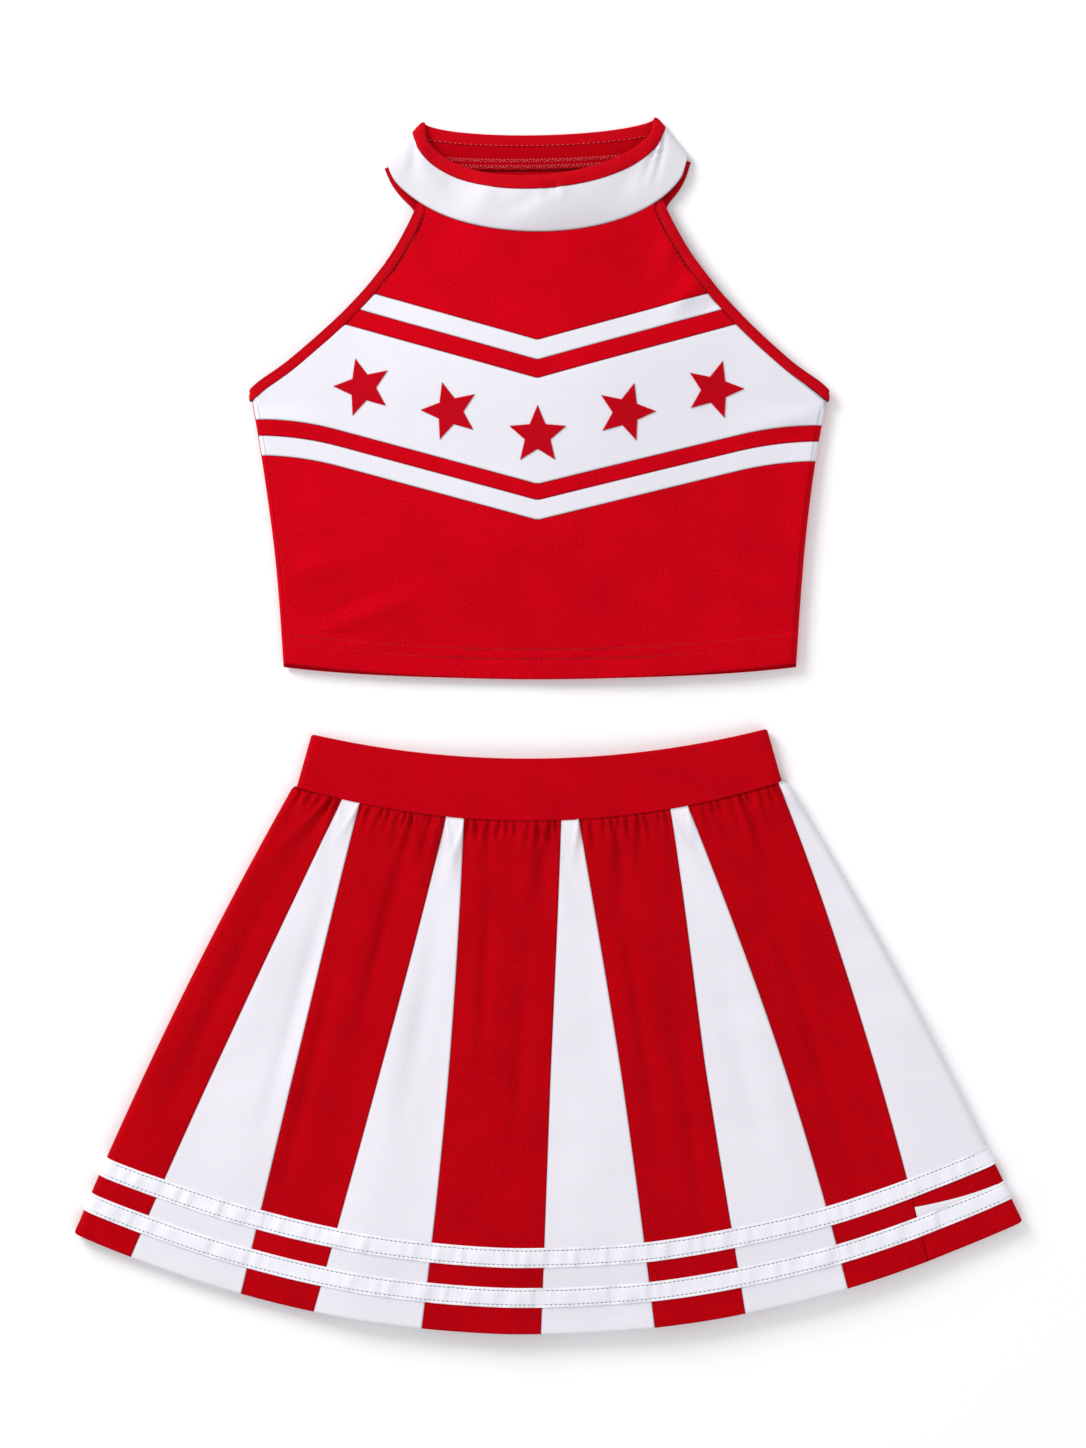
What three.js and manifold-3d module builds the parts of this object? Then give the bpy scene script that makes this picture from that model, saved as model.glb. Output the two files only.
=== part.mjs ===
// Cheer uniform laid flat: a sleeveless halter top with a stand collar, and a gored skirt on an elastic
// waistband. Millimetres, +Z up, both garments face up on the table. Y runs from the skirt's hem to the
// collar, and X from left to right as seen from above.
import * as THREE from "three";
import { mergeVertices } from "three/addons/utils/BufferGeometryUtils.js";
import Module from "manifold-3d";

// ---- driving dimensions ----------------------------------------------------------------
const CLOTH = 1.0; // double-knit body cloth
const GAP = 0.3; // clearance between pieces that are sewn together
const LAY_GAP = 57; // between the top's hem and the skirt's waistband, at the centre

// top: body (y = 0 at the centre of the front hem)
const HEM_HALF = 179; // half the width across the hem
const CHEST_HALF = 204.5; // half the width at the underarm
const SIDE_LENGTH = 202; // hem to underarm
const HEM_RISE = 8; // the front hem is higher at the side seams
const BACK_HEM_DROP = 3; // the back hem shows this much below the front hem at the sides
const SIDE_FOLD = 5; // radius of the soft fold down each side
const BODY_DOME = 10; // the front stands this much higher at the centre than at the folds
const NECK_HALF = 89.5; // half the width of the front where the armholes meet the collar
const ARMHOLE_HEIGHT = 129; // underarm to neck
// Each armhole is one curve drawn towards a point this far out, as a share of the chest's half width, and this
// high over the underarm. The back is cut in deeper than the front.
const FRONT_ARMHOLE = { out: 0.574, over: 65 };
const BACK_ARMHOLE = { out: 0.22, over: 62 };
const ARM_BINDING = 7.5; // width of the armhole binding
const BINDING_THICK = 2.6;

// top: chevron panels, heights on the centre line from the hem up
const LOWER_PANEL = 111;
const WHITE_STRIPE = 13.8;
const RED_STRIPE = 11.3;
const CHEST_BAND = 75.5;
const CHEVRON_SLOPE = 0.28;
const CHEVRON_EASE_FROM = 140; // past this half width a chevron levels out towards the side seam
const CHEVRON_EASE = 60;

// top: collar
const COLLAR_BOTTOM_HALF = 106;
const COLLAR_TOP_HALF = 86;
const COLLAR_TIP_RISE = 30; // from the neck up to the lower edge's side tips
const COLLAR_SIDE = 28; // from those tips to the upper edge's corners
const COLLAR_FOLD = 4.5; // radius of the fold at each side
const COLLAR_FRONT_DIP = 49; // lower edge, front: how far the middle lies below the tips
const COLLAR_BACK_DIP = 4;
const OPENING_FRONT_DIP = 36; // upper edge, front
const OPENING_BACK_DIP = 10;
const COLLAR_LIFT = GAP; // the collar's binding stands this far proud of its shell
const COLLAR_DOME = 7;
const OPENING_DOME = 9;
const COLLAR_BINDING = 8; // width of the binding round the neck opening
const COLLAR_SHELL = 0.9;
const INTERFACING = 0.4;
const COLLAR_LINING = 0.8;
const LAYER_GAP = 0.9; // the layers end this far under the binding's lower edge

// top: star appliques on the chest band
const STAR_COUNT = 5;
const STAR_RADIUS = 21;
const STAR_INNER = 9.5; // radius to the inner corners
const STAR_PITCH = 62;
const STAR_DROP = 3; // below the middle of the chest band
const STAR_THICK = 0.6;

// skirt
const WAIST_TOP_HALF = 158.5;
const WAIST_BOTTOM_HALF = 169;
const WAISTBAND = 42; // height
const WAIST_TOP_RISE = 19; // the top edge is higher at the sides than at the centre
const WAIST_BOTTOM_RISE = 25.5;
const WAIST_FOLD = 5; // radius of the fold at each side
const WAIST_DOME = 6;
const CASING = 0.9; // waistband cloth
const ELASTIC = 1.5; // thickness of the elastic inside
const GORE_STEP = 3; // the gores stand this far out past the waistband at the sides
const SKIRT_LENGTH = 359; // waistband to hem on the centre line
const SKIRT_HEM_HALF = 330;
const SKIRT_HEM_RISE = 74;
const SKIRT_HEM_SHIFT = 6.3; // the hem's middle lies this far towards +X
const SKIRT_FOLD = 5;
const SKIRT_DOME = 11;
const WHITE_TOP = 12.5; // a white gore's width at the waist
const RED_TOP = 64; // a red gore's width at the waist, gathers included
const FIRST_RED_TOP = 32; // of the first red gore's top, what lies on the front
const LAST_WHITE_TOP = 6; // of the last white gore's top, what lies on the front, and again on the back
// Widths at the hem, left to right across the front, let out or taken in together to fill the hem's width.
// The first and last gore go on round the sides.
const FRONT_HEM_WIDTHS = [39, 77, 51, 75, 84, 79, 64, 71, 56, 64];
const BACK_GORES = 8;
const FIRST_RED_BACK = 30; // what wraps to the back, at the hem
const LAST_WHITE_BACK = 12;
const RIBBON = 14; // width of each hem ribbon
const RIBBON_THICK = 0.6;
const LOWER_RIBBON_UP = 19; // from the hem's edge to the lower ribbon
const RIBBON_SPACE = 14.4;
const RIBBON_LIFT = 1.2; // the back cloth stands off the table under the ribbons
const FLAP_DEEP = 8; // the small white flap above the lower ribbon, at the right-hand side: at its seam
const FLAP_END = 0.8; // and at its narrow end

// ---- materials ---------------------------------------------------------------------------
const cloth = (name, colour, roughness = 0.85) =>
  new THREE.MeshStandardMaterial({ name, color: colour, roughness, metalness: 0 });
const redKnit = cloth("red_knit", 0xc40417);
const whiteKnit = cloth("white_knit", 0xeeedf3);
const redBinding = cloth("red_binding", 0xbd0316, 0.75);
const whiteRibbon = cloth("white_ribbon", 0xefeef4, 0.6);
const elasticWeb = cloth("elastic_web", 0xe6e3dd);
const interfacingFelt = cloth("interfacing", 0xf2f2ee, 0.95);

// ---- small maths ---------------------------------------------------------------------------
const { lerp, clamp, smoothstep } = THREE.MathUtils;
const V = (x, y, z) => new THREE.Vector3(x, y, z);
const range = (n) => Array.from({ length: n }, (_, i) => i);
const steps = (n) => range(n + 1).map((i) => i / n);

// How far a circular arc with this half chord and rise lies below its ends, at x.
function arcDrop(x, half, rise) {
  const radius = (half * half + rise * rise) / (2 * rise);
  return Math.sqrt(radius * radius - Math.min(x * x, half * half)) - (radius - rise);
}

// A soft hump: 1 at the centre, 0 and level at half and past it.
const hump = (x, half) => 0.5 + 0.5 * Math.cos(Math.PI * Math.min(1, Math.abs(x) / half));

// ---- meshes --------------------------------------------------------------------------------
const uniform = new THREE.Group();
const top = new THREE.Group();
const skirt = new THREE.Group();
uniform.add(top, skirt);

function signedVolume(positions, index) {
  const [a, b, c] = [V(), V(), V()];
  let sum = 0;
  for (let i = 0; i < index.length; i += 3) {
    a.fromArray(positions, 3 * index[i]);
    b.fromArray(positions, 3 * index[i + 1]);
    c.fromArray(positions, 3 * index[i + 2]);
    sum += a.dot(b.cross(c));
  }
  return sum / 6;
}

function facingOut(positions, index) {
  const turned = signedVolume(positions, index) < 0 ? [...index].reverse() : index;
  const geometry = new THREE.BufferGeometry();
  geometry.setAttribute("position", new THREE.Float32BufferAttribute(positions, 3));
  return geometry.setIndex(turned);
}

// A closed sheet of cloth. at(u, v, depth) gives a point with u and v taken from the two lists, on the outer
// face at depth 0 and on the inner face at depth 1. Both faces are split along the same diagonals, so the
// cloth is equally thick all over. A ring joins its last column to its first.
function sheet(us, vs, at, ring = false) {
  const columns = us.length;
  const rows = vs.length;
  const positions = [];
  for (const depth of [0, 1])
    for (const v of vs)
      for (const u of us) positions.push(...at(u, v, depth).toArray());
  const index = [];
  const id = (depth, j, i) => depth * rows * columns + j * columns + (i % columns);
  const quad = (a, b, c, d) => index.push(a, b, c, a, c, d);
  const across = ring ? columns : columns - 1;
  for (const i of range(across)) {
    for (const j of range(rows - 1)) {
      quad(id(0, j, i), id(0, j, i + 1), id(0, j + 1, i + 1), id(0, j + 1, i));
      quad(id(1, j, i), id(1, j + 1, i), id(1, j + 1, i + 1), id(1, j, i + 1));
    }
    quad(id(1, 0, i), id(1, 0, i + 1), id(0, 0, i + 1), id(0, 0, i));
    quad(id(0, rows - 1, i), id(0, rows - 1, i + 1), id(1, rows - 1, i + 1), id(1, rows - 1, i));
  }
  if (!ring)
    for (const j of range(rows - 1)) {
      quad(id(0, j, 0), id(0, j + 1, 0), id(1, j + 1, 0), id(1, j, 0));
      quad(id(1, j, columns - 1), id(1, j + 1, columns - 1), id(0, j + 1, columns - 1), id(0, j, columns - 1));
    }
  return facingOut(positions, index);
}

// A band of flattened round section swept along a path of {at, normal, across}, capped at its ends. Where the
// path gives no across, the band lies square to the path and the normal.
function band(path, width, thick) {
  const sides = 8;
  const positions = [];
  path.forEach(({ at, normal, across: given }, k) => {
    const before = path[Math.max(k - 1, 0)].at;
    const after = path[Math.min(k + 1, path.length - 1)].at;
    const along = V().subVectors(after, before).normalize();
    const across = given ?? V().crossVectors(along, normal).normalize();
    for (const s of range(sides)) {
      const angle = ((s + 0.5) / sides) * 2 * Math.PI;
      const wide = clamp(1.35 * Math.cos(angle), -1, 1) * (width / 2);
      const high = clamp(1.35 * Math.sin(angle), -0.98, 0.98) * (thick / 2);
      positions.push(...at.clone().addScaledVector(across, wide).addScaledVector(normal, high).toArray());
    }
  });
  const index = [];
  for (const k of range(path.length - 1))
    for (const s of range(sides)) {
      const [a, b] = [k * sides + s, k * sides + ((s + 1) % sides)];
      index.push(a, b, b + sides, a, b + sides, a + sides);
    }
  const last = (path.length - 1) * sides;
  for (const s of range(sides - 2)) index.push(0, s + 2, s + 1, last, last + s + 1, last + s + 2);
  return facingOut(positions, index);
}

function piece(garment, name, geometry, material) {
  const mesh = new THREE.Mesh(geometry, material);
  mesh.name = name;
  garment.add(mesh);
  return mesh;
}

// ---- top: outline ------------------------------------------------------------------------
const UNDERARM_Y = SIDE_LENGTH;
const NECK_Y = UNDERARM_Y + ARMHOLE_HEIGHT;
const COLLAR_TIP_Y = NECK_Y + COLLAR_TIP_RISE;
const COLLAR_CORNER_Y = COLLAR_TIP_Y + COLLAR_SIDE;
const SIDE_TOP_Y = UNDERARM_Y - ARM_BINDING; // the side seam ends under the binding
const sideHalf = (y) => {
  const up = clamp(y / UNDERARM_Y, 0, 1);
  return lerp(HEM_HALF, CHEST_HALF, 0.55 * up + 0.45 * up * up);
};
const frontHemY = (x) => HEM_RISE - arcDrop(x, HEM_HALF, HEM_RISE);
const backHemY = (x) => frontHemY(x) - BACK_HEM_DROP * smoothstep(Math.abs(x), 40, HEM_HALF);

const frontArmhole = new THREE.QuadraticBezierCurve(
  new THREE.Vector2(CHEST_HALF, UNDERARM_Y),
  new THREE.Vector2(FRONT_ARMHOLE.out * CHEST_HALF, UNDERARM_Y + FRONT_ARMHOLE.over),
  new THREE.Vector2(NECK_HALF, NECK_Y),
);
const backArmhole = new THREE.QuadraticBezierCurve(
  new THREE.Vector2(CHEST_HALF, UNDERARM_Y),
  new THREE.Vector2(BACK_ARMHOLE.out * CHEST_HALF, UNDERARM_Y + BACK_ARMHOLE.over),
  new THREE.Vector2(COLLAR_BOTTOM_HALF - 2, COLLAR_TIP_Y - 2),
);

// A point of an armhole curve moved in from the cloth's edge.
function armholePoint(curve, t, inset) {
  const point = curve.getPoint(t);
  const along = curve.getTangent(t);
  return point.add(new THREE.Vector2(-along.y, along.x).multiplyScalar(inset));
}

// Half width of the cloth at a height: the side seam below the binding, the armhole above it.
function limitOf(curve, inset) {
  const line = steps(60).map((t) => armholePoint(curve, t, inset));
  const corner = sideHalf(SIDE_TOP_Y - GAP);
  return (y) => {
    if (y <= SIDE_TOP_Y - GAP) return sideHalf(y);
    const k = line.findIndex((p, i) => i > 0 && p.y >= y);
    if (k < 0) return line.at(-1).x;
    const [a, b] = [line[k - 1], line[k]];
    const x = a.y > y ? a.x : lerp(a.x, b.x, (y - a.y) / (b.y - a.y));
    const first = line[0];
    if (y < first.y) return lerp(corner, first.x, (y - SIDE_TOP_Y + GAP) / (first.y - SIDE_TOP_Y + GAP));
    return Math.min(x, corner);
  };
}
const frontLimit = limitOf(frontArmhole, ARM_BINDING + GAP);
const backLimit = limitOf(backArmhole, ARM_BINDING + GAP);

// ---- top: heights -------------------------------------------------------------------------
const upTheArmhole = (y) => smoothstep(y, UNDERARM_Y - 10, NECK_Y);
const domeHalf = (y) => lerp(sideHalf(y) - SIDE_FOLD, COLLAR_BOTTOM_HALF - COLLAR_FOLD, upTheArmhole(y));
const foldStart = (y) => sideHalf(y) - SIDE_FOLD + 40 * smoothstep(y, SIDE_TOP_Y, UNDERARM_Y + 8);

// The rounded side fold at a height: how far round it x is, as the sine and cosine of the turn.
function foldTurn(x, y) {
  const sine = clamp((Math.abs(x) - foldStart(y)) / SIDE_FOLD, 0, 1);
  return [Math.sign(x) * sine, Math.sqrt(1 - sine * sine)];
}

function frontFace(x, y, deep = 0) {
  const [turn, level] = foldTurn(x, y);
  const side = lerp(SIDE_FOLD, COLLAR_LIFT + 2 * COLLAR_FOLD - SIDE_FOLD, upTheArmhole(y));
  const dome = lerp(BODY_DOME, COLLAR_DOME, upTheArmhole(y)) * hump(x, domeHalf(y));
  return V(x - deep * turn, y, side + (SIDE_FOLD - deep) * level + dome);
}

const backLift = (y) => COLLAR_LIFT * smoothstep(y, NECK_Y - 15, NECK_Y + 15);

function backFace(x, y, deep = 0) {
  const [turn, level] = foldTurn(x, y);
  return V(x - deep * turn, y, SIDE_FOLD - (SIDE_FOLD - deep) * level + backLift(y) * level);
}

// ---- top: armhole bindings ----------------------------------------------------------------
// Each runs from the collar down the front edge, round the underarm and up the back edge.
const BINDING_ENDS = { front: 0.965, back: 0.975, underarm: 0.03 }; // along the armhole curves
function armholePath(side) {
  const path = [];
  const inset = ARM_BINDING / 2;
  const half = CLOTH / 2;
  for (const t of steps(10).map((s) => lerp(BINDING_ENDS.front, BINDING_ENDS.underarm, s))) {
    const p = armholePoint(frontArmhole, t, inset);
    path.push({ at: frontFace(side * p.x, p.y, half), normal: V(0, 0, 1) });
  }
  const turnX = foldStart(SIDE_TOP_Y);
  const turnY = UNDERARM_Y - inset;
  for (const angle of [60, 30, 0, -30, -60].map(THREE.MathUtils.degToRad)) {
    const out = V(side * Math.cos(angle), 0, Math.sin(angle));
    const at = V(side * turnX, turnY, SIDE_FOLD).addScaledVector(out, SIDE_FOLD - half);
    path.push({ at, normal: out, across: V(0, -side, 0) });
  }
  for (const t of steps(12).map((s) => lerp(BINDING_ENDS.underarm, BINDING_ENDS.back, s))) {
    const p = armholePoint(backArmhole, t, inset);
    const at = backFace(side * p.x, p.y, half).add(V(0, 0, BINDING_THICK / 2 - half));
    path.push({ at, normal: V(0, 0, -1) });
  }
  return path;
}
const armholeBinding = (side, more = 0) => band(armholePath(side), ARM_BINDING + more, BINDING_THICK + more);
piece(top, "armhole_binding_left", armholeBinding(-1), redBinding);
piece(top, "armhole_binding_right", armholeBinding(1), redBinding);

// Cloth is trimmed back from a binding by the sewing clearance: the binding, made that much larger, cuts it.
const wasm = await Module();
wasm.setup();
function solid(geometry) {
  const bare = geometry.clone();
  bare.deleteAttribute("normal");
  bare.deleteAttribute("uv");
  const merged = mergeVertices(bare);
  const vertProperties = merged.getAttribute("position").array;
  const triVerts = new Uint32Array(merged.index.array);
  return new wasm.Manifold(new wasm.Mesh({ numProp: 3, vertProperties, triVerts }));
}
function geometryOf(manifold) {
  const mesh = manifold.getMesh();
  const geometry = new THREE.BufferGeometry();
  geometry.setAttribute("position", new THREE.Float32BufferAttribute(mesh.vertProperties, 3));
  return geometry.setIndex([...mesh.triVerts]);
}
function trimmed(geometry, trimmers) {
  const cut = trimmers.reduce((panel, trimmer) => panel.subtract(solid(trimmer)), solid(geometry));
  return geometryOf(cut.decompose().reduce((a, b) => (b.volume() > a.volume() ? b : a)));
}
const roundBindings = [-1, 1].map((side) => armholeBinding(side, 2 * GAP));

// ---- top: body panels -----------------------------------------------------------------------
const chevron = (centre) => (x) => {
  const past = Math.max(0, Math.abs(x) - CHEVRON_EASE_FROM);
  return centre + CHEVRON_SLOPE * (Math.abs(x) - (past * past) / (2 * CHEVRON_EASE));
};
const collarSeamY = (x) =>
  COLLAR_TIP_Y - COLLAR_FRONT_DIP * Math.sqrt(Math.max(0, 1 - (x / COLLAR_BOTTOM_HALF) ** 2));
const collarBackSeamY = (x) =>
  COLLAR_TIP_Y - COLLAR_BACK_DIP * Math.sqrt(Math.max(0, 1 - (x / COLLAR_BOTTOM_HALF) ** 2));

// Where a curve across the body meets the cloth's side limit.
function endOf(curve, limit) {
  let x = NECK_HALF;
  for (const _ of range(60)) x = 0.5 * x + 0.5 * limit(curve(x));
  return x;
}

// Across positions from the centre out: even up to the fold, then round it. s is -1 to 1.
const OUTER_COLUMNS = [Math.PI / 6, Math.PI / 3, Math.PI / 2].map(Math.sin);
function acrossHalf(end, flatColumns) {
  const flat = steps(flatColumns).map((s) => s * (end - SIDE_FOLD));
  return [...flat, ...OUTER_COLUMNS.map((s) => end - SIDE_FOLD + s * SIDE_FOLD)];
}

// A panel between two curves that cross the body from side to side.
function bodyPanel(name, lower, upper, rows, flatColumns, material, face, limit) {
  const count = flatColumns + 1 + OUTER_COLUMNS.length;
  const columns = range(2 * count - 1).map((i) => i - (count - 1));
  const at = (column, v, depth) => {
    const line = (x) => lerp(lower(x) + GAP / 2, upper(x) - GAP / 2, v);
    const x = Math.sign(column) * acrossHalf(endOf(line, limit), flatColumns)[Math.abs(column)];
    return face(x, line(x), depth * CLOTH);
  };
  return piece(top, name, trimmed(sheet(columns, steps(rows), at), roundBindings), material);
}
const frontPanel = (name, lower, upper, rows, material) =>
  bodyPanel(name, lower, upper, rows, 6, material, frontFace, frontLimit);

// The chevrons' lower edges, stacked up from the lower panel.
let stacked = LOWER_PANEL;
const nextChevron = (rise) => chevron((stacked += rise));
const heights = {
  lowerWhite: chevron(LOWER_PANEL),
  lowerRed: nextChevron(WHITE_STRIPE),
  chest: nextChevron(RED_STRIPE),
  upperRed: nextChevron(CHEST_BAND),
  upperWhite: nextChevron(RED_STRIPE),
  yoke: nextChevron(WHITE_STRIPE),
};

frontPanel("front_lower_panel", frontHemY, heights.lowerWhite, 3, redKnit);
frontPanel("lower_white_chevron", heights.lowerWhite, heights.lowerRed, 1, whiteKnit);
frontPanel("lower_red_chevron", heights.lowerRed, heights.chest, 1, redKnit);
frontPanel("chest_band", heights.chest, heights.upperRed, 4, whiteKnit);
frontPanel("upper_red_chevron", heights.upperRed, heights.upperWhite, 1, redKnit);
frontPanel("upper_white_chevron", heights.upperWhite, heights.yoke, 1, whiteKnit);
frontPanel("front_yoke", heights.yoke, (x) => collarSeamY(x) - GAP, 3, redKnit);
bodyPanel("back_panel", backHemY, (x) => collarBackSeamY(x) - GAP, 10, 6, redKnit, backFace, backLimit);

// ---- a flattened tube --------------------------------------------------------------------
// A point of the section of a tube laid flat: [x, z] for a half width, a fold radius and the extra height of
// the front at its centre. A place is on a fold, at an angle from its outermost point, or on the front or
// the back at x, a share of the flat half width. deep is the distance in from the outer face.
function flatTube(place, half, fold, dome, deep) {
  const flat = half - fold;
  const front = place.front ? 1 : -1;
  const out = Math.max(fold - deep, 0.05);
  if (place.fold !== undefined) {
    const x = place.side * (flat + out * Math.cos(place.fold));
    return [x, fold + front * out * Math.sin(place.fold)];
  }
  const x = place.x * flat;
  return [x, fold + front * out + (place.front ? dome * hump(x, flat) : 0)];
}

// Places all round a flattened tube, with the front and the back at the given shares of their half width.
const FOLD_STEPS = [0, Math.PI / 6, Math.PI / 3];
function ringPlaces(flats) {
  const fold = (side, front, angles) => angles.map((a) => ({ side, front, fold: a }));
  const [up, down] = [FOLD_STEPS, FOLD_STEPS.slice(1).reverse()];
  return [
    ...fold(-1, true, up),
    ...flats.map((x) => ({ front: true, x })),
    ...fold(1, true, [...up].reverse()),
    ...fold(1, false, FOLD_STEPS.slice(1)),
    ...[...flats].reverse().map((x) => ({ front: false, x })),
    ...fold(-1, false, down),
  ];
}

// ---- top: collar ----------------------------------------------------------------------------
const collarFlats = steps(10).map((s) => 2 * s - 1);

// up is 0 at the lower edge and 1 at the upper edge.
function collarAt(place, up, deep) {
  const half = lerp(COLLAR_BOTTOM_HALF, COLLAR_TOP_HALF, up);
  const [x, z] = flatTube(place, half, COLLAR_FOLD, lerp(COLLAR_DOME, OPENING_DOME, up), deep);
  const outerX = flatTube(place, half, COLLAR_FOLD, 0, 0)[0];
  const round = Math.sqrt(Math.max(0, 1 - (outerX / half) ** 2));
  const dips = place.front ? [COLLAR_FRONT_DIP, OPENING_FRONT_DIP] : [COLLAR_BACK_DIP, OPENING_BACK_DIP];
  const y = lerp(COLLAR_TIP_Y, COLLAR_CORNER_Y, up) - lerp(dips[0], dips[1], up) * round;
  return V(x, y, COLLAR_LIFT + z);
}

const collarRing = ringPlaces(collarFlats);
const bindingFrom = 1 - COLLAR_BINDING / (COLLAR_SIDE + 10);
const liningDeep = COLLAR_SHELL + INTERFACING + 2 * GAP;
const collarStack = liningDeep + COLLAR_LINING;

// The binding folds over the layers' upper edges. more makes it larger all round.
function collarBinding(more = 0) {
  const rows = [bindingFrom - (LAYER_GAP / GAP) * (more / COLLAR_SIDE), 1 + more / COLLAR_SIDE];
  const at = (place, up, depth) => collarAt(place, up, lerp(-GAP - more, collarStack + GAP + more, depth));
  return sheet(collarRing, rows, at, true);
}
piece(top, "collar_binding", collarBinding(), redBinding);

function collarLayer(name, from, thick, material) {
  const at = (place, up, depth) => collarAt(place, up, from + depth * thick);
  const layer = sheet(collarRing, [0, bindingFrom / 2, bindingFrom], at, true);
  return piece(top, name, trimmed(layer, [collarBinding(GAP)]), material);
}
collarLayer("collar_shell", 0, COLLAR_SHELL, whiteKnit);
collarLayer("collar_interfacing", COLLAR_SHELL + GAP, INTERFACING, interfacingFelt);
collarLayer("collar_lining", liningDeep, COLLAR_LINING, redKnit);

// ---- top: stars on the chest band -----------------------------------------------------------
function star(index) {
  const centreX = (index - (STAR_COUNT - 1) / 2) * STAR_PITCH;
  const centreY = (heights.chest(centreX) + heights.upperRed(centreX)) / 2 - STAR_DROP;
  const tilt = -Math.sign(centreX) * Math.atan(CHEVRON_SLOPE);
  const corners = range(10).map((k) => {
    const angle = Math.PI / 2 + tilt + (k * Math.PI) / 5;
    const radius = k % 2 ? STAR_INNER : STAR_RADIUS;
    return [centreX + radius * Math.cos(angle), centreY + radius * Math.sin(angle)];
  });
  const points = [[centreX, centreY], ...corners];
  const positions = [];
  for (const lift of [GAP + STAR_THICK, GAP])
    for (const [x, y] of points) positions.push(x, y, frontFace(x, y).z + lift);
  const triangles = [];
  for (const k of range(10)) {
    const [a, b] = [1 + k, 1 + ((k + 1) % 10)];
    const [c, d] = [a + points.length, b + points.length];
    triangles.push(0, a, b, points.length, d, c, a, c, d, a, d, b);
  }
  return piece(top, `star_${index + 1}`, facingOut(positions, triangles), redKnit);
}
for (const index of range(STAR_COUNT)) star(index);

// ---- skirt: waistband -----------------------------------------------------------------------
const WAIST_TOP_Y = -LAY_GAP;
const WAIST_BOTTOM_Y = WAIST_TOP_Y - WAISTBAND;
const waistFlats = steps(10).map((s) => 2 * s - 1);
const casingThick = 2 * CASING + 2 * GAP + ELASTIC;

// up is 0 at the waistband's lower edge and 1 at its upper edge.
function waistAt(place, up, deep) {
  const half = lerp(WAIST_BOTTOM_HALF, WAIST_TOP_HALF, up);
  const [x, z] = flatTube(place, half, WAIST_FOLD, WAIST_DOME, deep);
  const rise = lerp(WAIST_BOTTOM_RISE, WAIST_TOP_RISE, up);
  const y = lerp(WAIST_BOTTOM_Y, WAIST_TOP_Y, up) + rise - arcDrop(x, half, rise);
  return V(x, y, z);
}

// The casing is one strip folded over the elastic: up the outside, over the top and down the inside.
const turnRadius = casingThick / 2;
const legTop = 1 - turnRadius / WAISTBAND;
const casingRows = [0, 1, 1.33, 1.67, 2, 3]; // 0 to 1 outside leg, 1 to 2 the fold, 2 to 3 inside leg
function casingAt(place, row, depth) {
  const radius = turnRadius - depth * CASING;
  if (row <= 1) return waistAt(place, row * legTop, turnRadius - radius);
  if (row >= 2) return waistAt(place, (3 - row) * legTop, turnRadius + radius);
  const angle = (row - 1) * Math.PI;
  return waistAt(place, legTop + (radius * Math.sin(angle)) / WAISTBAND, turnRadius - radius * Math.cos(angle));
}
const waistRing = ringPlaces(waistFlats);
piece(skirt, "waistband_casing", sheet(waistRing, casingRows, casingAt, true), redKnit);

const elasticAt = (place, up, depth) => waistAt(place, up, CASING + GAP + depth * ELASTIC);
const elasticTop = legTop - (GAP + 0.5) / WAISTBAND;
piece(skirt, "waistband_elastic", sheet(waistRing, [0.05, elasticTop], elasticAt, true), elasticWeb);

// ---- skirt: gores ---------------------------------------------------------------------------
const GORE_TOP_HALF = WAIST_BOTTOM_HALF + GORE_STEP;
const GORE_TOP_Y = WAIST_BOTTOM_Y - GAP;
const HEM_Y = WAIST_BOTTOM_Y - SKIRT_LENGTH;

const skirtHalf = (down) => lerp(GORE_TOP_HALF, SKIRT_HEM_HALF, down);
// A height above the hem's edge as a share of the way down: 0 at the waist, 1 at the hem.
const share = (up) => 1 - up / SKIRT_LENGTH;
const ribbons = [
  { name: "hem_ribbon_upper", low: LOWER_RIBBON_UP + RIBBON + RIBBON_SPACE },
  { name: "hem_ribbon_lower", low: LOWER_RIBBON_UP },
].map((r) => ({ ...r, from: share(r.low + RIBBON), to: share(r.low) }));
const liftRows = {
  from: ribbons[0].from - 0.06,
  full: ribbons[0].from - 0.005,
  down: ribbons[1].to + 0.004,
  to: ribbons[1].to + 0.03,
};
const underRibbons = (down) =>
  smoothstep(down, liftRows.from, liftRows.full) * (1 - smoothstep(down, liftRows.down, liftRows.to));

function skirtAt(place, down, deep) {
  const half = skirtHalf(down);
  const [x, z] = flatTube(place, half, SKIRT_FOLD, lerp(WAIST_DOME, SKIRT_DOME, down), deep);
  const rise = lerp(WAIST_BOTTOM_RISE, SKIRT_HEM_RISE, down);
  const y = lerp(GORE_TOP_Y, HEM_Y, down) + rise - arcDrop(x, half, rise);
  const lift = place.front ? 0 : RIBBON_LIFT * underRibbons(down);
  return V(x + SKIRT_HEM_SHIFT * down, y, z + lift);
}

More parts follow.
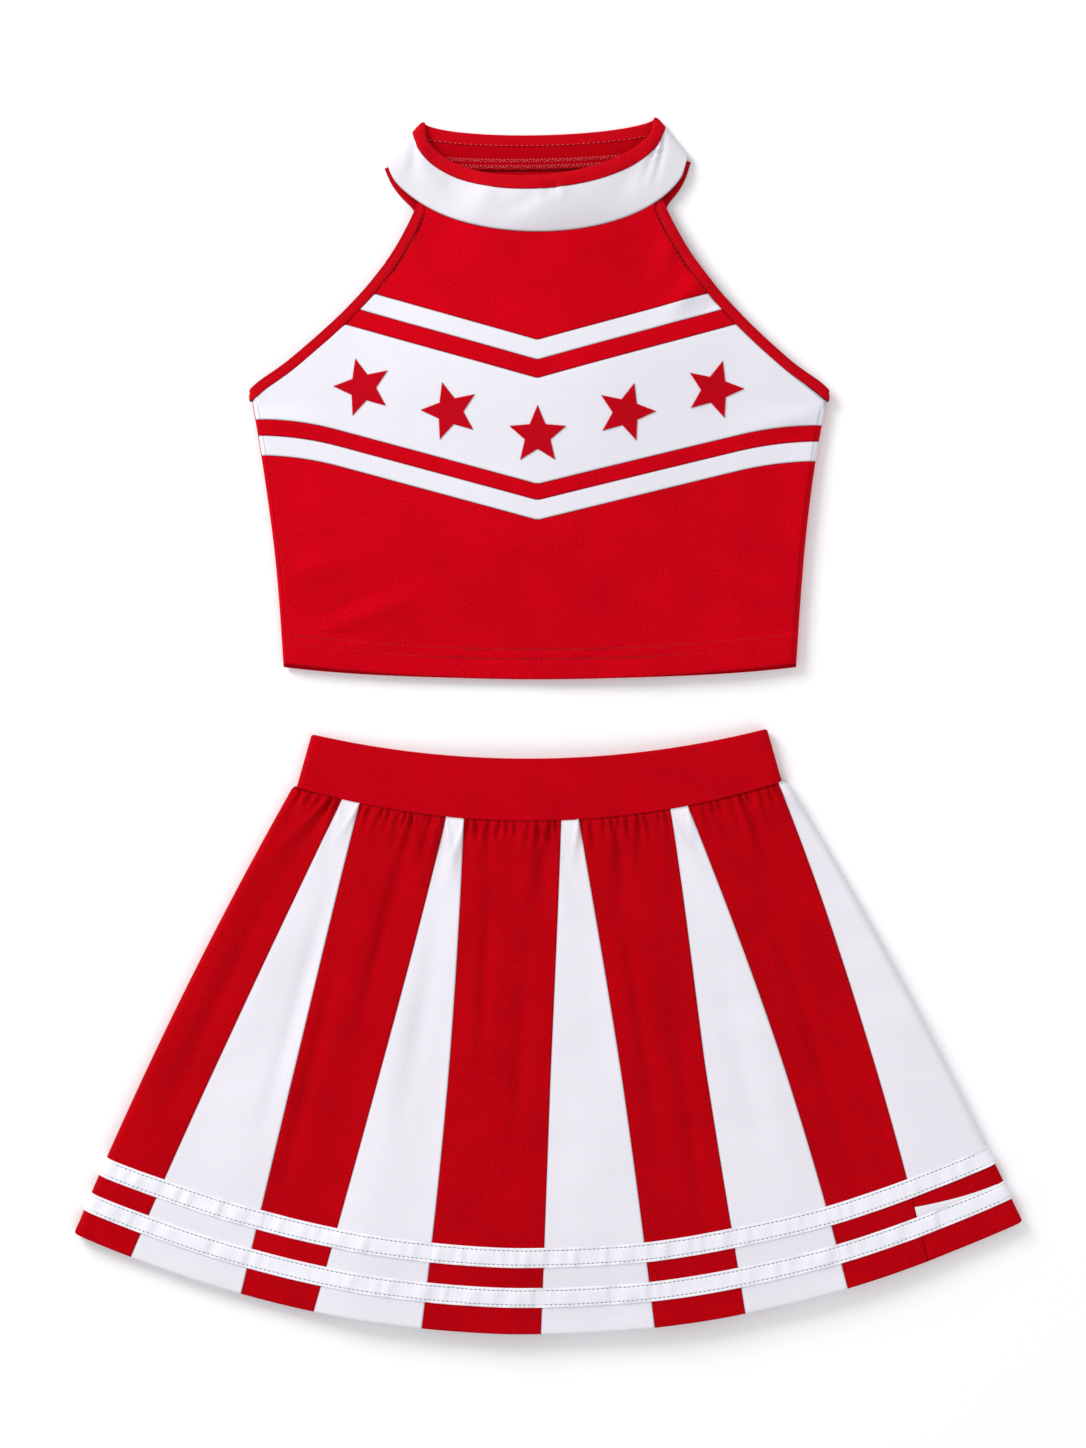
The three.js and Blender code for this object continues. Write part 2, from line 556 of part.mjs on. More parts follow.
// Seams across the front from left to right and then across the back from right to left, as
// distances from the left fold (front) or right fold (back), at the waist and at the hem.
function running(widths) {
  let sum = 0;
  return widths.slice(0, -1).map((w) => (sum += w));
}
const frontCount = FRONT_HEM_WIDTHS.length;
const topWidths = range(frontCount).map((i) => (i === 0 ? FIRST_RED_TOP : i % 2 ? WHITE_TOP : RED_TOP));
const frontTop = running(topWidths);
const fitTop = (2 * GORE_TOP_HALF - LAST_WHITE_TOP) / frontTop.at(-1); // gathers the tops in to the waistband
const fitHem = (2 * SKIRT_HEM_HALF) / FRONT_HEM_WIDTHS.reduce((a, b) => a + b);
const frontSeams = running(FRONT_HEM_WIDTHS).map((hem, i) => ({
  front: true,
  waist: frontTop[i] * fitTop,
  hem: hem * fitHem,
}));
const backHem = (2 * SKIRT_HEM_HALF - FIRST_RED_BACK - LAST_WHITE_BACK) / BACK_GORES;
const backWaist = (2 * GORE_TOP_HALF - FIRST_RED_TOP - LAST_WHITE_TOP) / (BACK_GORES / 2);
const backSeams = range(BACK_GORES + 1).map((k) => ({
  front: false,
  waist: LAST_WHITE_TOP + Math.floor(k / 2) * backWaist + (k % 2) * (backWaist - WHITE_TOP),
  hem: LAST_WHITE_BACK + k * backHem,
}));
const seams = [...frontSeams, ...backSeams];

// A seam's share of the flat half width at a height, -1 to 1.
function seamShare(seam, down) {
  const half = skirtHalf(down);
  const from = lerp(seam.waist, seam.hem, down);
  const x = seam.front ? from - half : half - from;
  return clamp(x / (half - SKIRT_FOLD), -1, 1);
}

const WRAP_COLUMNS = 4; // on the front, of a gore that goes on round a side

// The columns of the gore between two seams, each a function of the height. A gore at a side bends round it.
function goreColumns(a, b) {
  const edge = (seam, inset) => (down) => {
    const move = inset / (skirtHalf(down) - SKIRT_FOLD);
    return { front: seam.front, x: seamShare(seam, down) + (seam.front ? move : -move) };
  };
  const between = (p, q, n) =>
    range(n + 1).map((i) => (down) => ({ front: p(down).front, x: lerp(p(down).x, q(down).x, i / n) }));
  const [start, end] = [edge(a, GAP / 2), edge(b, -GAP / 2)];
  if (a.front === b.front) return between(start, end, 3);
  const side = a.front ? 1 : -1;
  const flatEnd = (front) => () => ({ front, x: side });
  const folds = [...FOLD_STEPS].reverse().map((f) => ({ side, front: a.front, fold: f }));
  const onward = FOLD_STEPS.slice(1).map((f) => ({ side, front: b.front, fold: f }));
  const turn = [...folds, ...onward].map((p) => () => p);
  return [...between(start, flatEnd(a.front), WRAP_COLUMNS), ...turn, ...between(flatEnd(b.front), end, 2)];
}

const goreRows = [0, 0.35, 0.6, ...Object.values(liftRows), 1];
const rowsBetween = (from, to) => [from, ...goreRows.filter((row) => row > from && row < to), to];
const goreAt = (column, down, depth) => skirtAt(column(down), down, depth * CLOTH);
const allColumns = seams.map((seam, i) => goreColumns(seam, seams[(i + 1) % seams.length]));

// The last front gore ends under the upper ribbon. A red block makes up its hem.
const blockSeam = ribbons[0].to;
const seamHalf = GAP / 2 / SKIRT_LENGTH;
allColumns.forEach((columns, i) => {
  const number = ((i + 1) % seams.length) + 1;
  const white = number % 2 === 0;
  const rows = rowsBetween(0, number === frontCount ? blockSeam - seamHalf : 1);
  const name = `gore_${String(number).padStart(2, "0")}_${white ? "white" : "red"}`;
  piece(skirt, name, sheet(columns, rows, goreAt), white ? whiteKnit : redKnit);
});
const blockColumns = allColumns[frontCount - 2];
piece(skirt, "side_hem_block", sheet(blockColumns, rowsBetween(blockSeam + seamHalf, 1), goreAt), redKnit);

const allRound = allColumns.flat();
for (const ribbon of ribbons) {
  const at = (column, down, depth) => skirtAt(column(down), down, lerp(-GAP - RIBBON_THICK, -GAP, depth));
  piece(skirt, ribbon.name, sheet(allRound, [ribbon.from, ribbon.to], at, true), whiteRibbon);
}

// A small white flap lies on the block, along the lower ribbon's upper edge, out to the side fold.
const flapEnd = ribbons[1].from - GAP / SKIRT_LENGTH;
const flapDeep = (s) => FLAP_END + (FLAP_DEEP - FLAP_END) * (1 - s) ** 1.6;
const flapAt = (step, v, depth) => {
  const down = flapEnd - (flapDeep(step / WRAP_COLUMNS) * (1 - v)) / SKIRT_LENGTH;
  return skirtAt(blockColumns[step](down), down, lerp(-GAP - RIBBON_THICK, -GAP, depth));
};
piece(skirt, "side_flap", sheet(range(WRAP_COLUMNS + 1), [0, 1], flapAt), whiteKnit);

// ---- the frame: origin under the middle of the whole layout, on the table -----------------------
uniform.updateMatrixWorld(true);
const box = new THREE.Box3().setFromObject(uniform, true);
const centre = box.getCenter(V());
uniform.position.set(-centre.x, -centre.y, -box.min.z);

export default uniform;
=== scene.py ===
# %% [markdown]
# A cheer uniform laid flat on a table: a sleeveless halter top and a gored skirt, in red and white knit.
# The solid model of the uniform comes first, as a fixed frame. Every piece of cloth made below lies where a
# solid of that frame lies, and takes its place. The box round the frame is worked out and printed.

# %% The frame
import math
import bpy
import numpy as np
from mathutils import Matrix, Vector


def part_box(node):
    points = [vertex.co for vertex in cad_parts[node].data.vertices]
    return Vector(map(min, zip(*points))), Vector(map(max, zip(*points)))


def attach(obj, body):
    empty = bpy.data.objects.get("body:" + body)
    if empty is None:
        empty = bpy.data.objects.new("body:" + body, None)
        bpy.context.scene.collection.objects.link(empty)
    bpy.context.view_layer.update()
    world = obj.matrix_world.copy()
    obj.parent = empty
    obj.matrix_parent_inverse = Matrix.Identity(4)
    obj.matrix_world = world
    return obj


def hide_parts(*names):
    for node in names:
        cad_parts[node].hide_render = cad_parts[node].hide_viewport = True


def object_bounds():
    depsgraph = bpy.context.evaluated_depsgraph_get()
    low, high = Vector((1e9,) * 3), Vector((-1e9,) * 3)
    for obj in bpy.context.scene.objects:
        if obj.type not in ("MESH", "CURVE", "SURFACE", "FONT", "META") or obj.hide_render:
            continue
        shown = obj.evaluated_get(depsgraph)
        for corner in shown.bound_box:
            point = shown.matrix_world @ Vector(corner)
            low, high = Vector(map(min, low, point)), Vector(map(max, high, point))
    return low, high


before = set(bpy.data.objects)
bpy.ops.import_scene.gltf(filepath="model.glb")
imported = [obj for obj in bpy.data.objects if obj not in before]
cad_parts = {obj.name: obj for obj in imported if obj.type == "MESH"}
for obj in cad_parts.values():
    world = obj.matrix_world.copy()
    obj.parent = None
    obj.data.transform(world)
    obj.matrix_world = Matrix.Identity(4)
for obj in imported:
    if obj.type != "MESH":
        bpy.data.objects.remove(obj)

cad_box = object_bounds()
print("frame:", len(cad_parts), "nodes, box", [[round(v, 4) for v in corner] for corner in cad_box])

# %% [markdown]
# A flat lay is seen from straight above. A long lens keeps the garments' outlines free of perspective, as a
# copy stand does. The camera stands over the middle of the layout and looks down, with the collar at the top.

# %% The camera
mm = 0.001
LENS = 0.085
SENSOR = 0.036
VIEW_HEIGHT = 1.0136  # of the table that fits in the picture, from top to bottom
VIEW_CENTRE = (-0.0025, 0.0032)
camera_data = bpy.data.cameras.new("copy_stand_camera")
camera_data.lens = LENS / mm
camera_data.sensor_width = SENSOR / mm
camera = bpy.data.objects.new("copy_stand_camera", camera_data)
bpy.context.collection.objects.link(camera)
camera.location = (*VIEW_CENTRE, LENS * VIEW_HEIGHT / SENSOR + 10 * mm)
bpy.context.scene.camera = camera
print("camera height", round(camera.location.z, 3))

# %% [markdown]
# The light is that of a bright studio: a pale table, light from all round, and one large soft lamp at the
# upper left. The lamp gives each seam its lit and its shaded side, and the soft shadow at the lower right.
# The colours are shown as they are, without a film look, so that the red stays a clean red.

# %% The table and the light
scene = bpy.context.scene
scene.view_settings.view_transform = "Standard"


def soft_lamp(name, place, width, watts):
    """A round lamp at this place, turned to the middle of the table."""
    data = bpy.data.lights.new(name, "AREA")
    data.shape = "DISK"
    data.size = width
    data.energy = watts
    lamp = bpy.data.objects.new(name, data)
    bpy.context.collection.objects.link(lamp)
    lamp.location = place
    lamp.rotation_euler = (-lamp.location).to_track_quat("-Z", "Y").to_euler()


soft_lamp("window_lamp", (-1.6, 1.5, 1.35), 1.3, 50)
soft_lamp("fill_lamp", (1.3, -1.6, 2.2), 2.0, 14)
world = bpy.data.worlds.new("studio")
world.use_nodes = True
sky = world.node_tree.nodes["Background"]
sky.inputs["Color"].default_value = (0.97, 0.975, 1.0, 1)
sky.inputs["Strength"].default_value = 0.68
scene.world = world

floor_mesh = bpy.data.meshes.new("table")
FLOOR_HALF = 4.0
FLOOR_Z = cad_box[0][2] - 0.3 * mm  # just under the lowest cloth
floor_corners = [(x * FLOOR_HALF, y * FLOOR_HALF, FLOOR_Z) for x, y in ((-1, -1), (1, -1), (1, 1), (-1, 1))]
floor_mesh.from_pydata(floor_corners, [], [(0, 1, 2, 3)])
floor = bpy.data.objects.new("table", floor_mesh)
bpy.context.collection.objects.link(floor)
floor_paint = bpy.data.materials.new("table_paint")
floor_paint.use_nodes = True
floor_shader = floor_paint.node_tree.nodes["Principled BSDF"]
floor_shader.inputs["Base Color"].default_value = (0.97, 0.965, 0.97, 1)
floor_shader.inputs["Roughness"].default_value = 0.9
floor_mesh.materials.append(floor_paint)

# %% [markdown]
# Knit cloth has several scales of detail: the loops of yarn, well under a millimetre, then slight unevenness
# in the dye, and then the shade that gathers in a seam. Each scale is a node group with named inputs, so that
# every cloth in the uniform can use it with its own values. The groups read a coordinate called grain, which
# every piece carries: metres across and along its own thread line, so that a skewed gore has a skewed knit.

# %% Node group helpers
def new_group(name, inputs, outputs):
    group = bpy.data.node_groups.new(name, "ShaderNodeTree")
    for label, kind, value in inputs:
        socket = group.interface.new_socket(label, in_out="INPUT", socket_type=kind)
        if value is not None:
            socket.default_value = value
    for label, kind in outputs:
        group.interface.new_socket(label, in_out="OUTPUT", socket_type=kind)
    return group, group.nodes.new("NodeGroupInput"), group.nodes.new("NodeGroupOutput")


def node(tree, kind, **settings):
    made = tree.nodes.new(kind)
    for key, value in settings.items():
        setattr(made, key, value)
    return made


def maths(tree, operation, a, b=None, clamp=False):
    made = node(tree, "ShaderNodeMath", operation=operation, use_clamp=clamp)
    for socket, value in zip(made.inputs, (a, b)):
        if value is None:
            continue
        if isinstance(value, (int, float)):
            socket.default_value = value
        else:
            tree.links.new(value, socket)
    return made.outputs[0]


def scaled(tree, vector, factor):
    """A colour or a place, times a number."""
    made = node(tree, "ShaderNodeVectorMath", operation="SCALE")
    tree.links.new(vector, made.inputs[0])
    tree.links.new(factor, made.inputs["Scale"])
    return made.outputs[0]


def noise(tree, vector, scale, detail, **settings):
    made = node(tree, "ShaderNodeTexNoise", **settings)
    made.inputs["Scale"].default_value = scale
    made.inputs["Detail"].default_value = detail
    tree.links.new(vector, made.inputs["Vector"])
    return made.outputs["Fac"]


FLOAT, COLOUR, VECTOR = "NodeSocketFloat", "NodeSocketColor", "NodeSocketVector"

# %% [markdown]
# The knit loops. On double knit they show as fine upright ribs broken into stitches, so two waves are crossed:
# one across the ribs and one along them, and a little noise keeps the rows from looking printed. The group
# gives a height for the bump and a shade for the hollows between the loops.

# %% Knit loops
knit, knit_in, knit_out = new_group(
    "knit_loops",
    [("Grain", VECTOR, None), ("Loop Size", FLOAT, 0.0009), ("Unevenness", FLOAT, 0.5)],
    [("Height", FLOAT), ("Hollow", FLOAT)],
)
per_metre = maths(knit, "DIVIDE", 1.0, knit_in.outputs["Loop Size"])
in_loops = scaled(knit, knit_in.outputs["Grain"], per_metre)
wobble = noise(knit, in_loops, 0.6, 2.0, noise_dimensions="2D")
shift = maths(knit, "MULTIPLY", wobble, knit_in.outputs["Unevenness"])
apart = node(knit, "ShaderNodeSeparateXYZ")
knit.links.new(in_loops, apart.inputs[0])
rib, course = (
    maths(knit, "SINE", maths(knit, "MULTIPLY", maths(knit, "ADD", apart.outputs[axis], shift), 2 * math.pi))
    for axis in "XY"
)
loops = maths(knit, "MULTIPLY", maths(knit, "ADD", rib, 1.0), maths(knit, "ADD", course, 1.4))
height = maths(knit, "MULTIPLY", loops, 0.2)
knit.links.new(height, knit_out.inputs["Height"])
knit.links.new(maths(knit, "SUBTRACT", 1.0, height, clamp=True), knit_out.inputs["Hollow"])

# %% [markdown]
# The dye, and the painted shade of the knit. Red cloth is never one red: broad patches take the dye slightly
# deeper, and the fuzz of the yarn catches light in specks. The group makes a colour deeper and paler by two
# noises, and darker in the hollows between the loops, as painted shade.

# %% Dye, fuzz and painted loop shade
dye_and_loop_shade, dye_and_loop_shade_in, dye_and_loop_shade_out = new_group(
    "dye_fuzz_and_loop_shade",
    [("Colour", COLOUR, (0.5, 0.5, 0.5, 1)), ("Grain", VECTOR, None), ("Hollow", FLOAT, 0.5),
     ("Patches", FLOAT, 0.06), ("Fuzz", FLOAT, 0.08), ("Depth", FLOAT, 0.15)],
    [("Colour", COLOUR)],
)
# Painted shade: the colour is darkened in the hollows between the knit loops.
tone = maths(dye_and_loop_shade, "MULTIPLY", dye_and_loop_shade_in.outputs["Hollow"], dye_and_loop_shade_in.outputs["Depth"])
tone = maths(dye_and_loop_shade, "SUBTRACT", 1.0, tone)
for label, scale, detail in (("Patches", 26.0, 3.0), ("Fuzz", 520.0, 2.0)):
    speck = maths(dye_and_loop_shade, "SUBTRACT", noise(dye_and_loop_shade, dye_and_loop_shade_in.outputs["Grain"], scale, detail), 0.5)
    tone = maths(dye_and_loop_shade, "ADD", tone, maths(dye_and_loop_shade, "MULTIPLY", speck, dye_and_loop_shade_in.outputs[label]))
dye_and_loop_shade.links.new(scaled(dye_and_loop_shade, dye_and_loop_shade_in.outputs["Colour"], tone), dye_and_loop_shade_out.inputs["Colour"])

# %% [markdown]
# The seams. Where two pieces are sewn together the cloth rolls down into the seam and shade falls there, and
# just beside it the cloth is pressed shiny. Each piece carries a value called seam, 1 at its sewn edges and 0 a
# few millimetres in, and this group turns it into painted shade, a darker colour in the seam, and a painted
# highlight, a slightly paler colour just beside it.

# %% Seam shade
seams, seams_in, seams_out = new_group(
    "seam_shade",
    [("Colour", COLOUR, (0.5, 0.5, 0.5, 1)), ("Seam", FLOAT, 0.0),
     ("Shade", FLOAT, 0.5), ("Press", FLOAT, 0.05)],
    [("Colour", COLOUR)],
)
near = seams_in.outputs["Seam"]
# Painted shade: the colour is darkened in the seam, where shade falls.
painted_seam_shade = maths(seams, "MULTIPLY", maths(seams, "POWER", near, 3.0), seams_in.outputs["Shade"])
beside = maths(seams, "MULTIPLY", near, maths(seams, "SUBTRACT", 1.0, near))
# Painted highlight: just beside the seam the colour is made slightly paler, for the shine of pressed cloth.
painted_highlight_band = maths(seams, "MULTIPLY", maths(seams, "MULTIPLY", beside, seams_in.outputs["Press"]), 4.0)
shade = maths(seams, "ADD", maths(seams, "SUBTRACT", 1.0, painted_seam_shade), painted_highlight_band)
seams.links.new(scaled(seams, seams_in.outputs["Colour"], shade), seams_out.inputs["Colour"])

# %% [markdown]
# Each cloth's own material places the three groups one after another and ends in one shader. Sheen is the
# glow of the fuzz at a glancing angle, and it is what tells cloth from paint, so it is set per cloth.

# %% Cloth materials
# The looks set how much painted shade darkens the seams and the hollows between the loops, and how much painted
# highlight lies beside the seams.
def cloth_material(name, colour, loop_size, bump, roughness, sheen, patches=0.14, fuzz=0.26, depth=0.15,
                   shade=0.5, painted_highlight=0.05, unevenness=0.5, specular=0.2):
    material = bpy.data.materials.new(name)
    material.use_nodes = True
    tree = material.node_tree
    shader = tree.nodes["Principled BSDF"]
    grain = node(tree, "ShaderNodeAttribute", attribute_name="grain")
    seam = node(tree, "ShaderNodeAttribute", attribute_name="seam")

    def group_node(group, **values):
        made = node(tree, "ShaderNodeGroup", node_tree=group)
        for key, value in values.items():
            made.inputs[key.replace("_", " ")].default_value = value
        return made

    loops_node = group_node(knit, Loop_Size=loop_size, Unevenness=unevenness)
    dye_and_loop_shade_node = group_node(dye_and_loop_shade, Colour=(*colour, 1), Patches=patches, Fuzz=fuzz, Depth=depth)
    seam_node = group_node(seams, Shade=shade, Press=painted_highlight)
    tree.links.new(grain.outputs["Vector"], loops_node.inputs["Grain"])
    tree.links.new(grain.outputs["Vector"], dye_and_loop_shade_node.inputs["Grain"])
    tree.links.new(loops_node.outputs["Hollow"], dye_and_loop_shade_node.inputs["Hollow"])
    tree.links.new(dye_and_loop_shade_node.outputs["Colour"], seam_node.inputs["Colour"])
    tree.links.new(seam.outputs["Fac"], seam_node.inputs["Seam"])
    tree.links.new(seam_node.outputs["Colour"], shader.inputs["Base Color"])
    relief = node(tree, "ShaderNodeBump")
    relief.inputs["Distance"].default_value = bump
    relief.inputs["Strength"].default_value = 0.6
    tree.links.new(loops_node.outputs["Height"], relief.inputs["Height"])
    tree.links.new(relief.outputs["Normal"], shader.inputs["Normal"])
    shader.inputs["Roughness"].default_value = roughness
    shader.inputs["Sheen Weight"].default_value = sheen
    shader.inputs["Sheen Roughness"].default_value = 0.5
    shader.inputs["Specular IOR Level"].default_value = specular
    return material


RED_LOOK = dict(patches=0.28, fuzz=0.6, specular=0.03)
WHITE_LOOK = dict(patches=0.05, fuzz=0.08, depth=0.06, shade=0.35, painted_highlight=0.02)
COLLAR_LOOK = dict(patches=0.08, fuzz=0.08, depth=0.06, shade=0.45, painted_highlight=0.02)
RIBBON_LOOK = dict(patches=0.03, fuzz=0.03, depth=0.06, shade=0.3, painted_highlight=0.05, unevenness=0.1)


def red_cloth(name, colour, loop_size=0.9 * mm, bump=0.12 * mm, roughness=0.86, **look):
    return cloth_material(name, colour, loop_size, bump, roughness, 0.01, **look)


def white_cloth(name, colour, look):
    return cloth_material(name, colour, 0.9 * mm, 0.1 * mm, 0.88, 0.08, **look)


red_knit = red_cloth("red_double_knit", (0.58, 0.0, 0.0065), **RED_LOOK)
skirt_red = red_cloth("red_skirt_knit", (0.48, 0.0, 0.004), **RED_LOOK)
band_knit = red_cloth("red_waistband_knit", (0.52, 0.0, 0.005), **RED_LOOK)
lining_knit = red_cloth("red_lining_knit", (0.46, 0.0, 0.004), 0.8 * mm, 0.1 * mm, specular=0.03)
red_binding = red_cloth("red_folded_binding", (0.53, 0.0, 0.006), 0.7 * mm, 0.08 * mm, 0.78,
                        fuzz=0.4, shade=0.75, specular=0.05)
red_twill = red_cloth("red_applique_twill", (0.50, 0.0, 0.007), 0.6 * mm, 0.08 * mm, 0.75, specular=0.05)
white_knit = white_cloth("white_double_knit", (0.745, 0.73, 0.785), WHITE_LOOK)
skirt_white = white_cloth("white_skirt_knit", (0.80, 0.775, 0.83), WHITE_LOOK)
# The collar's white is painted darker than the body's white, as painted shade on the collar's face.
collar_knit = white_cloth("white_collar_knit", (0.71, 0.685, 0.735), COLLAR_LOOK)
white_ribbon = cloth_material("white_grosgrain", (0.87, 0.86, 0.915), 0.7 * mm, 0.1 * mm, 0.7, 0.05,
                              **RIBBON_LOOK)
elastic_web = cloth_material("elastic_web", (0.78, 0.76, 0.72), 1.6 * mm, 0.3 * mm, 0.8, 0.05, unevenness=0.1)
felt = cloth_material("interfacing_felt", (0.85, 0.85, 0.83), 0.5 * mm, 0.1 * mm, 0.95, 0.1, unevenness=2.0)


def thread_material(name, colour):
    """Polyester thread: a plain shader whose colour is painted darker in bands along the twist of the yarn, as
    painted shade between the plies.
    """
    material = bpy.data.materials.new(name)
    material.use_nodes = True
    tree = material.node_tree
    twist = node(tree, "ShaderNodeTexWave", wave_type="BANDS", bands_direction="DIAGONAL")
    twist.inputs["Scale"].default_value = 900.0
    place = node(tree, "ShaderNodeTexCoord")
    twist_shade = node(tree, "ShaderNodeMix", data_type="RGBA")
    twist_shade.inputs["A"].default_value = (*[0.75 * c for c in colour], 1)
    twist_shade.inputs["B"].default_value = (*colour, 1)
    tree.links.new(place.outputs["Object"], twist.inputs["Vector"])
    tree.links.new(twist.outputs["Fac"], twist_shade.inputs["Factor"])
    tree.links.new(twist_shade.outputs["Result"], tree.nodes["Principled BSDF"].inputs["Base Color"])
    tree.nodes["Principled BSDF"].inputs["Roughness"].default_value = 0.6
    return material


# The ribbons' stitches are white thread, painted dark grey as painted shade where they sink into the ribbon.
shaded_white_thread = thread_material("white_thread_in_painted_shade", (0.26, 0.26, 0.33))
pale_red_thread = thread_material("pale_red_thread", (0.74, 0.05, 0.07))
pink_thread = thread_material("pink_overlock_thread", (0.80, 0.15, 0.17))
deep_red_thread = thread_material("deep_red_thread", (0.28, 0.0, 0.003))
print(len(bpy.data.materials), "materials")

# %% [markdown]
# Sewn cloth is easiest to make as a grid of points: rows down the piece and columns across it, once for its
# outer face and once for its inner face. The grid follows the pattern piece, so it can be finer where a seam
# or a fold needs it. This keeps the surface clean, with no stray faces, and every piece has real thickness.

# %% Grids of cloth
def lerp(a, b, t):
    return a + (b - a) * t


def ease(value, low, high):
    t = np.clip((value - low) / (high - low), 0, 1)
    return t * t * (3 - 2 * t)


def hump(x, half):
    return 0.5 + 0.5 * np.cos(np.pi * np.minimum(1, np.abs(x) / half))


def bell(distance, width):
    return np.exp(-((distance / width) ** 2))


def unit(vectors):
    return vectors / np.linalg.norm(vectors, axis=-1, keepdims=True)


def distance_along(points):
    """How far along a line each of its points is."""
    return np.concatenate([[0], np.cumsum(np.linalg.norm(np.diff(points, axis=0), axis=1))])


def read_at(at, marks, rows):
    """Rows that are known at the marks, read off at other positions between them."""
    return np.stack([np.interp(at, marks, column) for column in rows.T], 1)


def grain_of(across, along):
    return np.stack(np.broadcast_arrays(across, along), -1)


def arc_drop(x, half, rise):
    """How far an arc with this half chord and rise lies below its ends, at x."""
    radius = (half * half + rise * rise) / (2 * rise)
    return np.sqrt(radius * radius - np.minimum(x * x, half * half)) - (radius - rise)


def soft_noise(x, y, size, seed):
    """Smooth bumps about size across, from -1 to 1."""
    lattice = np.random.RandomState(seed).uniform(-1, 1, (64, 64))
    u, v = x / size + 100.5, y / size + 100.5
    i, j = np.floor(u).astype(int), np.floor(v).astype(int)
    a, b = ease(u - i, 0, 1), ease(v - j, 0, 1)
    at = lambda p, q: lattice[p % 64, q % 64]
    return lerp(lerp(at(i, j), at(i + 1, j), a), lerp(at(i, j + 1), at(i + 1, j + 1), a), b)


def spaced(length, step, ends=(0.3 * mm, 0.8 * mm, 1.6 * mm, 3 * mm), fine=()):
    """Positions from 0 to length: close together at both ends and round each fine position, even between."""
    marks = {0.0, length}
    marks.update(e for e in ends if e < length / 3)
    marks.update(length - e for e in ends if e < length / 3)
    for place in fine:
        close = [place + d * mm for d in (-1.6, -0.8, -0.3, 0, 0.3, 0.8, 1.6)]
        marks.update(mark for mark in close if 0 < mark < length)
    marks.update(np.arange(step, length, step))
    kept = [0.0]
    for mark in sorted(marks):
        if mark - kept[-1] > 0.2 * mm:
            kept.append(mark)
    kept[-1] = length
    return np.array(kept)


def add_mesh(name, points, faces, material, sharp=None):
    """A smooth mesh, with its edges kept sharp where they turn by more than this many degrees."""
    mesh = bpy.data.meshes.new(name)
    mesh.from_pydata(points, [], faces)
    mesh.polygons.foreach_set("use_smooth", np.ones(len(faces), bool))
    if sharp:
        mesh.set_sharp_from_angle(angle=math.radians(sharp))
    mesh.materials.append(material)
    piece = bpy.data.objects.new(name, mesh)
    bpy.context.collection.objects.link(piece)
    return piece


def carry(piece, grain, seam):
    """The two values at each point that the cloth's material reads."""
    attributes = piece.data.attributes
    grain_data = attributes.new("grain", "FLOAT_VECTOR", "POINT").data
    grain_data.foreach_set("vector", grain.astype(np.float32).ravel())
    seam_data = attributes.new("seam", "FLOAT", "POINT").data
    seam_data.foreach_set("value", seam.astype(np.float32).ravel())


def triangle_area(p, q, r):
    return np.linalg.norm(np.cross(q - p, r - p), axis=-1).sum() / 2


def make_cloth(name, outer, inner, material, grain, seam=None, ring=False):
    """A closed piece of cloth from two grids of points (rows, columns, 3). Its area is worked out but not used.
    """
    rows, columns = outer.shape[:2]
    points = np.concatenate([outer.reshape(-1, 3), inner.reshape(-1, 3)])
    ids = np.arange(rows * columns).reshape(rows, columns)
    if ring:
        ids = np.concatenate([ids, ids[:, :1]], axis=1)
    back = ids + rows * columns

    def quads(*corners):
        return np.stack([corner.ravel() for corner in corners], axis=1)

    faces = [quads(ids[:-1, :-1], ids[:-1, 1:], ids[1:, 1:], ids[1:, :-1]),
             quads(back[:-1, :-1], back[1:, :-1], back[1:, 1:], back[:-1, 1:]),
             quads(back[0, :-1], back[0, 1:], ids[0, 1:], ids[0, :-1]),
             quads(ids[-1, :-1], ids[-1, 1:], back[-1, 1:], back[-1, :-1])]
    if not ring:
        faces += [quads(ids[:-1, 0], ids[1:, 0], back[1:, 0], back[:-1, 0]),
                  quads(back[:-1, -1], back[1:, -1], ids[1:, -1], ids[:-1, -1])]
    faces = np.concatenate(faces)
    a, b, c, d = (points[faces[:, k]] for k in range(4))
    volume = (a * np.cross(b, c)).sum() + (a * np.cross(c, d)).sum()
    if volume < 0:
        faces = faces[:, ::-1]
    piece = add_mesh(name, points.tolist(), faces.tolist(), material, sharp=55)
    flat_grain = np.zeros((rows * columns, 3))
    flat_grain[:, :2] = grain.reshape(-1, 2)
    edge = np.zeros(rows * columns) if seam is None else seam.ravel()
    carry(piece, np.tile(flat_grain, (2, 1)), np.tile(edge, 2))
    middle = 0.5 * (outer + inner)
    closed = np.concatenate([middle, middle[:, :1]], axis=1) if ring else middle
    area = triangle_area(closed[:-1, :-1], closed[:-1, 1:], closed[1:, 1:])
    area += triangle_area(closed[:-1, :-1], closed[1:, 1:], closed[1:, :-1])
    return piece


def settle(piece, body, node_names):
    """The piece rides on its garment and stands for its solids."""
    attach(piece, body)
    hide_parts(*node_names)


# %% [markdown]
# The top's pattern. The side seams curve out from the hem to the underarm, and each armhole is one curve from
# the underarm to the neck. The back's armhole is cut in deeper than the front's. The top's own origin is the
# middle of its front hem, which the frame gives.

